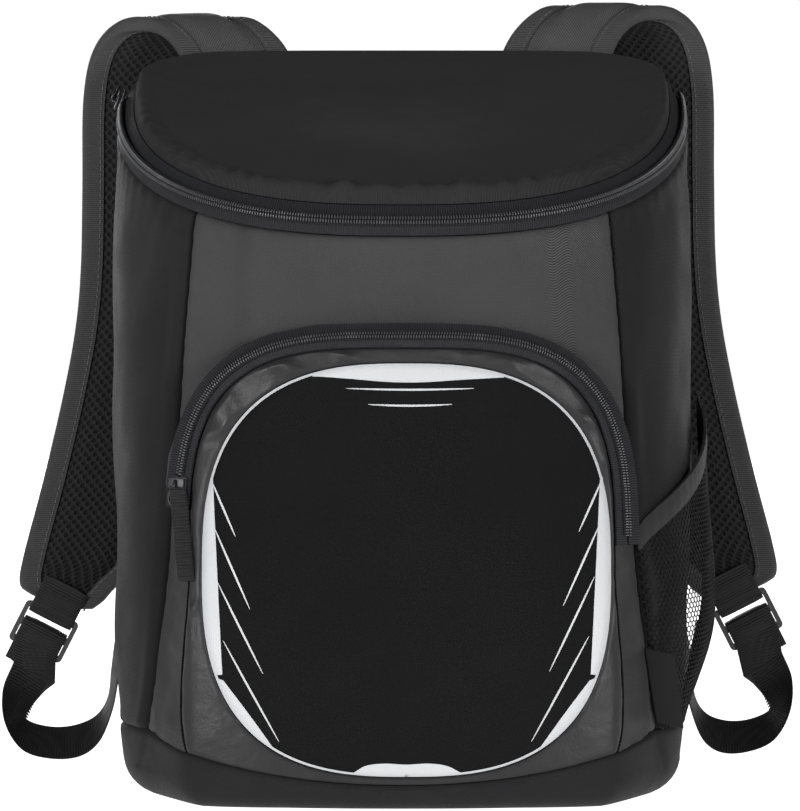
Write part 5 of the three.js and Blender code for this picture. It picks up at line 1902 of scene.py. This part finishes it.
class COOLER_OT_locks(bpy.types.Operator):
    """Ladder locks, their loops, the adjuster webbing and its anchors"""

    bl_idname = "cooler.locks"
    bl_label = "Locks and webbing"

    def execute(self, context):
        for name, side in (("left", -1), ("right", 1)):
            self.lock(name)
            one, other = lock_line(side, loop_rows, 90)
            loop = ribbon(f"buckle_loop_{name}_webbing", one, other)
            dress(loop, "webbing", f"buckle_loop_{name}")
            one, other = self.webbing_edges(side)
            web = ribbon(f"adjuster_webbing_{name}_woven", one, other)
            dress(web, "webbing", f"adjuster_webbing_{name}")
            self.anchor(name, side, one[-1], other[-1])
        return {"FINISHED"}

    def lock(self, name):
        node = frame["nodes"][f"ladder_lock_{name}"]
        mesh = bmesh.new()
        mesh.from_mesh(node.data)
        bmesh.ops.remove_doubles(mesh, verts=mesh.verts, dist=1e-5)
        bmesh.ops.dissolve_limit(mesh, angle_limit=math.radians(1), verts=mesh.verts, edges=mesh.edges)
        data = bpy.data.meshes.new(f"ladder_lock_{name}_moulded")
        mesh.to_mesh(data)
        mesh.free()
        data.materials.clear()
        data.materials.append(finish("black_plastic"))
        obj = bpy.data.objects.new(data.name, data)
        bpy.context.scene.collection.objects.link(obj)
        rounding = obj.modifiers.new("Rounded edges", "BEVEL")
        rounding.width, rounding.segments, rounding.limit_method = 0.0007, 3, "ANGLE"
        data.polygons.foreach_set("use_smooth", [True] * len(data.polygons))
        data.set_sharp_from_angle(angle=math.radians(35))
        dress(obj, "black_plastic", f"ladder_lock_{name}")

    def webbing_edges(self, side):
        lift, shift = strap_set(side)
        rows = np.array(webbing_path, float)
        edges = []
        for k in (0, 3):
            x, y, z = rows[:, k], rows[:, k + 1], rows[:, k + 2]
            high = np.clip((x - 150) / 60, 0, 1)
            edges.append(np.stack([side * (x + 1.2 * high * shift), y, z + lift * high], -1))
        both = np.concatenate([edges[1], edges[0]], axis=1)
        wrap_one, wrap_other = lock_line(side, wrap_rows, 40)
        path = through(both, 150)
        return np.concatenate([wrap_one, path[:, :3]]), np.concatenate([wrap_other, path[:, 3:]])

    def anchor(self, name, side, inner, outer):
        seam = tub_point(np.array([side * BACK_SEAM] * 2), np.array([62.0, 96.0]), -1.0)
        share = np.linspace(0, 1, 14)[:, None]
        one = lerp(seam[0], outer, share * 0.96)
        other = lerp(seam[1], inner, share * 0.96)
        tab = ribbon(f"webbing_anchor_{name}_cloth", one, other, ribs=False)
        dress(tab, "webbing", f"webbing_anchor_{name}")


class COOLER_PT_bag(bpy.types.Panel):
    """Makes the bag's pieces and holds their sizes and colours"""

    bl_label = "Cooler bag"
    bl_idname = "COOLER_PT_bag"
    bl_space_type = "VIEW_3D"
    bl_region_type = "UI"
    bl_category = "Cooler bag"

    def draw(self, context):
        for operator in operators:
            self.layout.operator(operator.bl_idname)
        for group in ("cooler_colours", "cooler_sizes", "cooler_stage"):
            settings = getattr(context.scene, group)
            for name in settings.bl_rna.properties.keys():
                if name not in ("rna_type", "name"):
                    self.layout.prop(settings, name)


operators = (
    COOLER_OT_stage,
    COOLER_OT_tub,
    COOLER_OT_boot,
    COOLER_OT_lid,
    COOLER_OT_lid_zip,
    COOLER_OT_pocket,
    COOLER_OT_pocket_zip,
    COOLER_OT_side_pocket,
    COOLER_OT_straps,
    COOLER_OT_locks,
)
groups = (CoolerColours, CoolerSizes, CoolerStage)


def register():
    for cls in (*groups, *operators, COOLER_PT_bag):
        bpy.utils.register_class(cls)
    bpy.types.Scene.cooler_colours = PointerProperty(type=CoolerColours)
    bpy.types.Scene.cooler_sizes = PointerProperty(type=CoolerSizes)
    bpy.types.Scene.cooler_stage = PointerProperty(type=CoolerStage)


def unregister():
    for name in ("cooler_colours", "cooler_sizes", "cooler_stage"):
        delattr(bpy.types.Scene, name)
    for cls in (COOLER_PT_bag, *reversed(operators), *reversed(groups)):
        bpy.utils.unregister_class(cls)


def main():
    register()
    for operator in operators:
        group, name = operator.bl_idname.split(".")
        getattr(getattr(bpy.ops, group), name)()


if __name__ == "__main__":
    main()
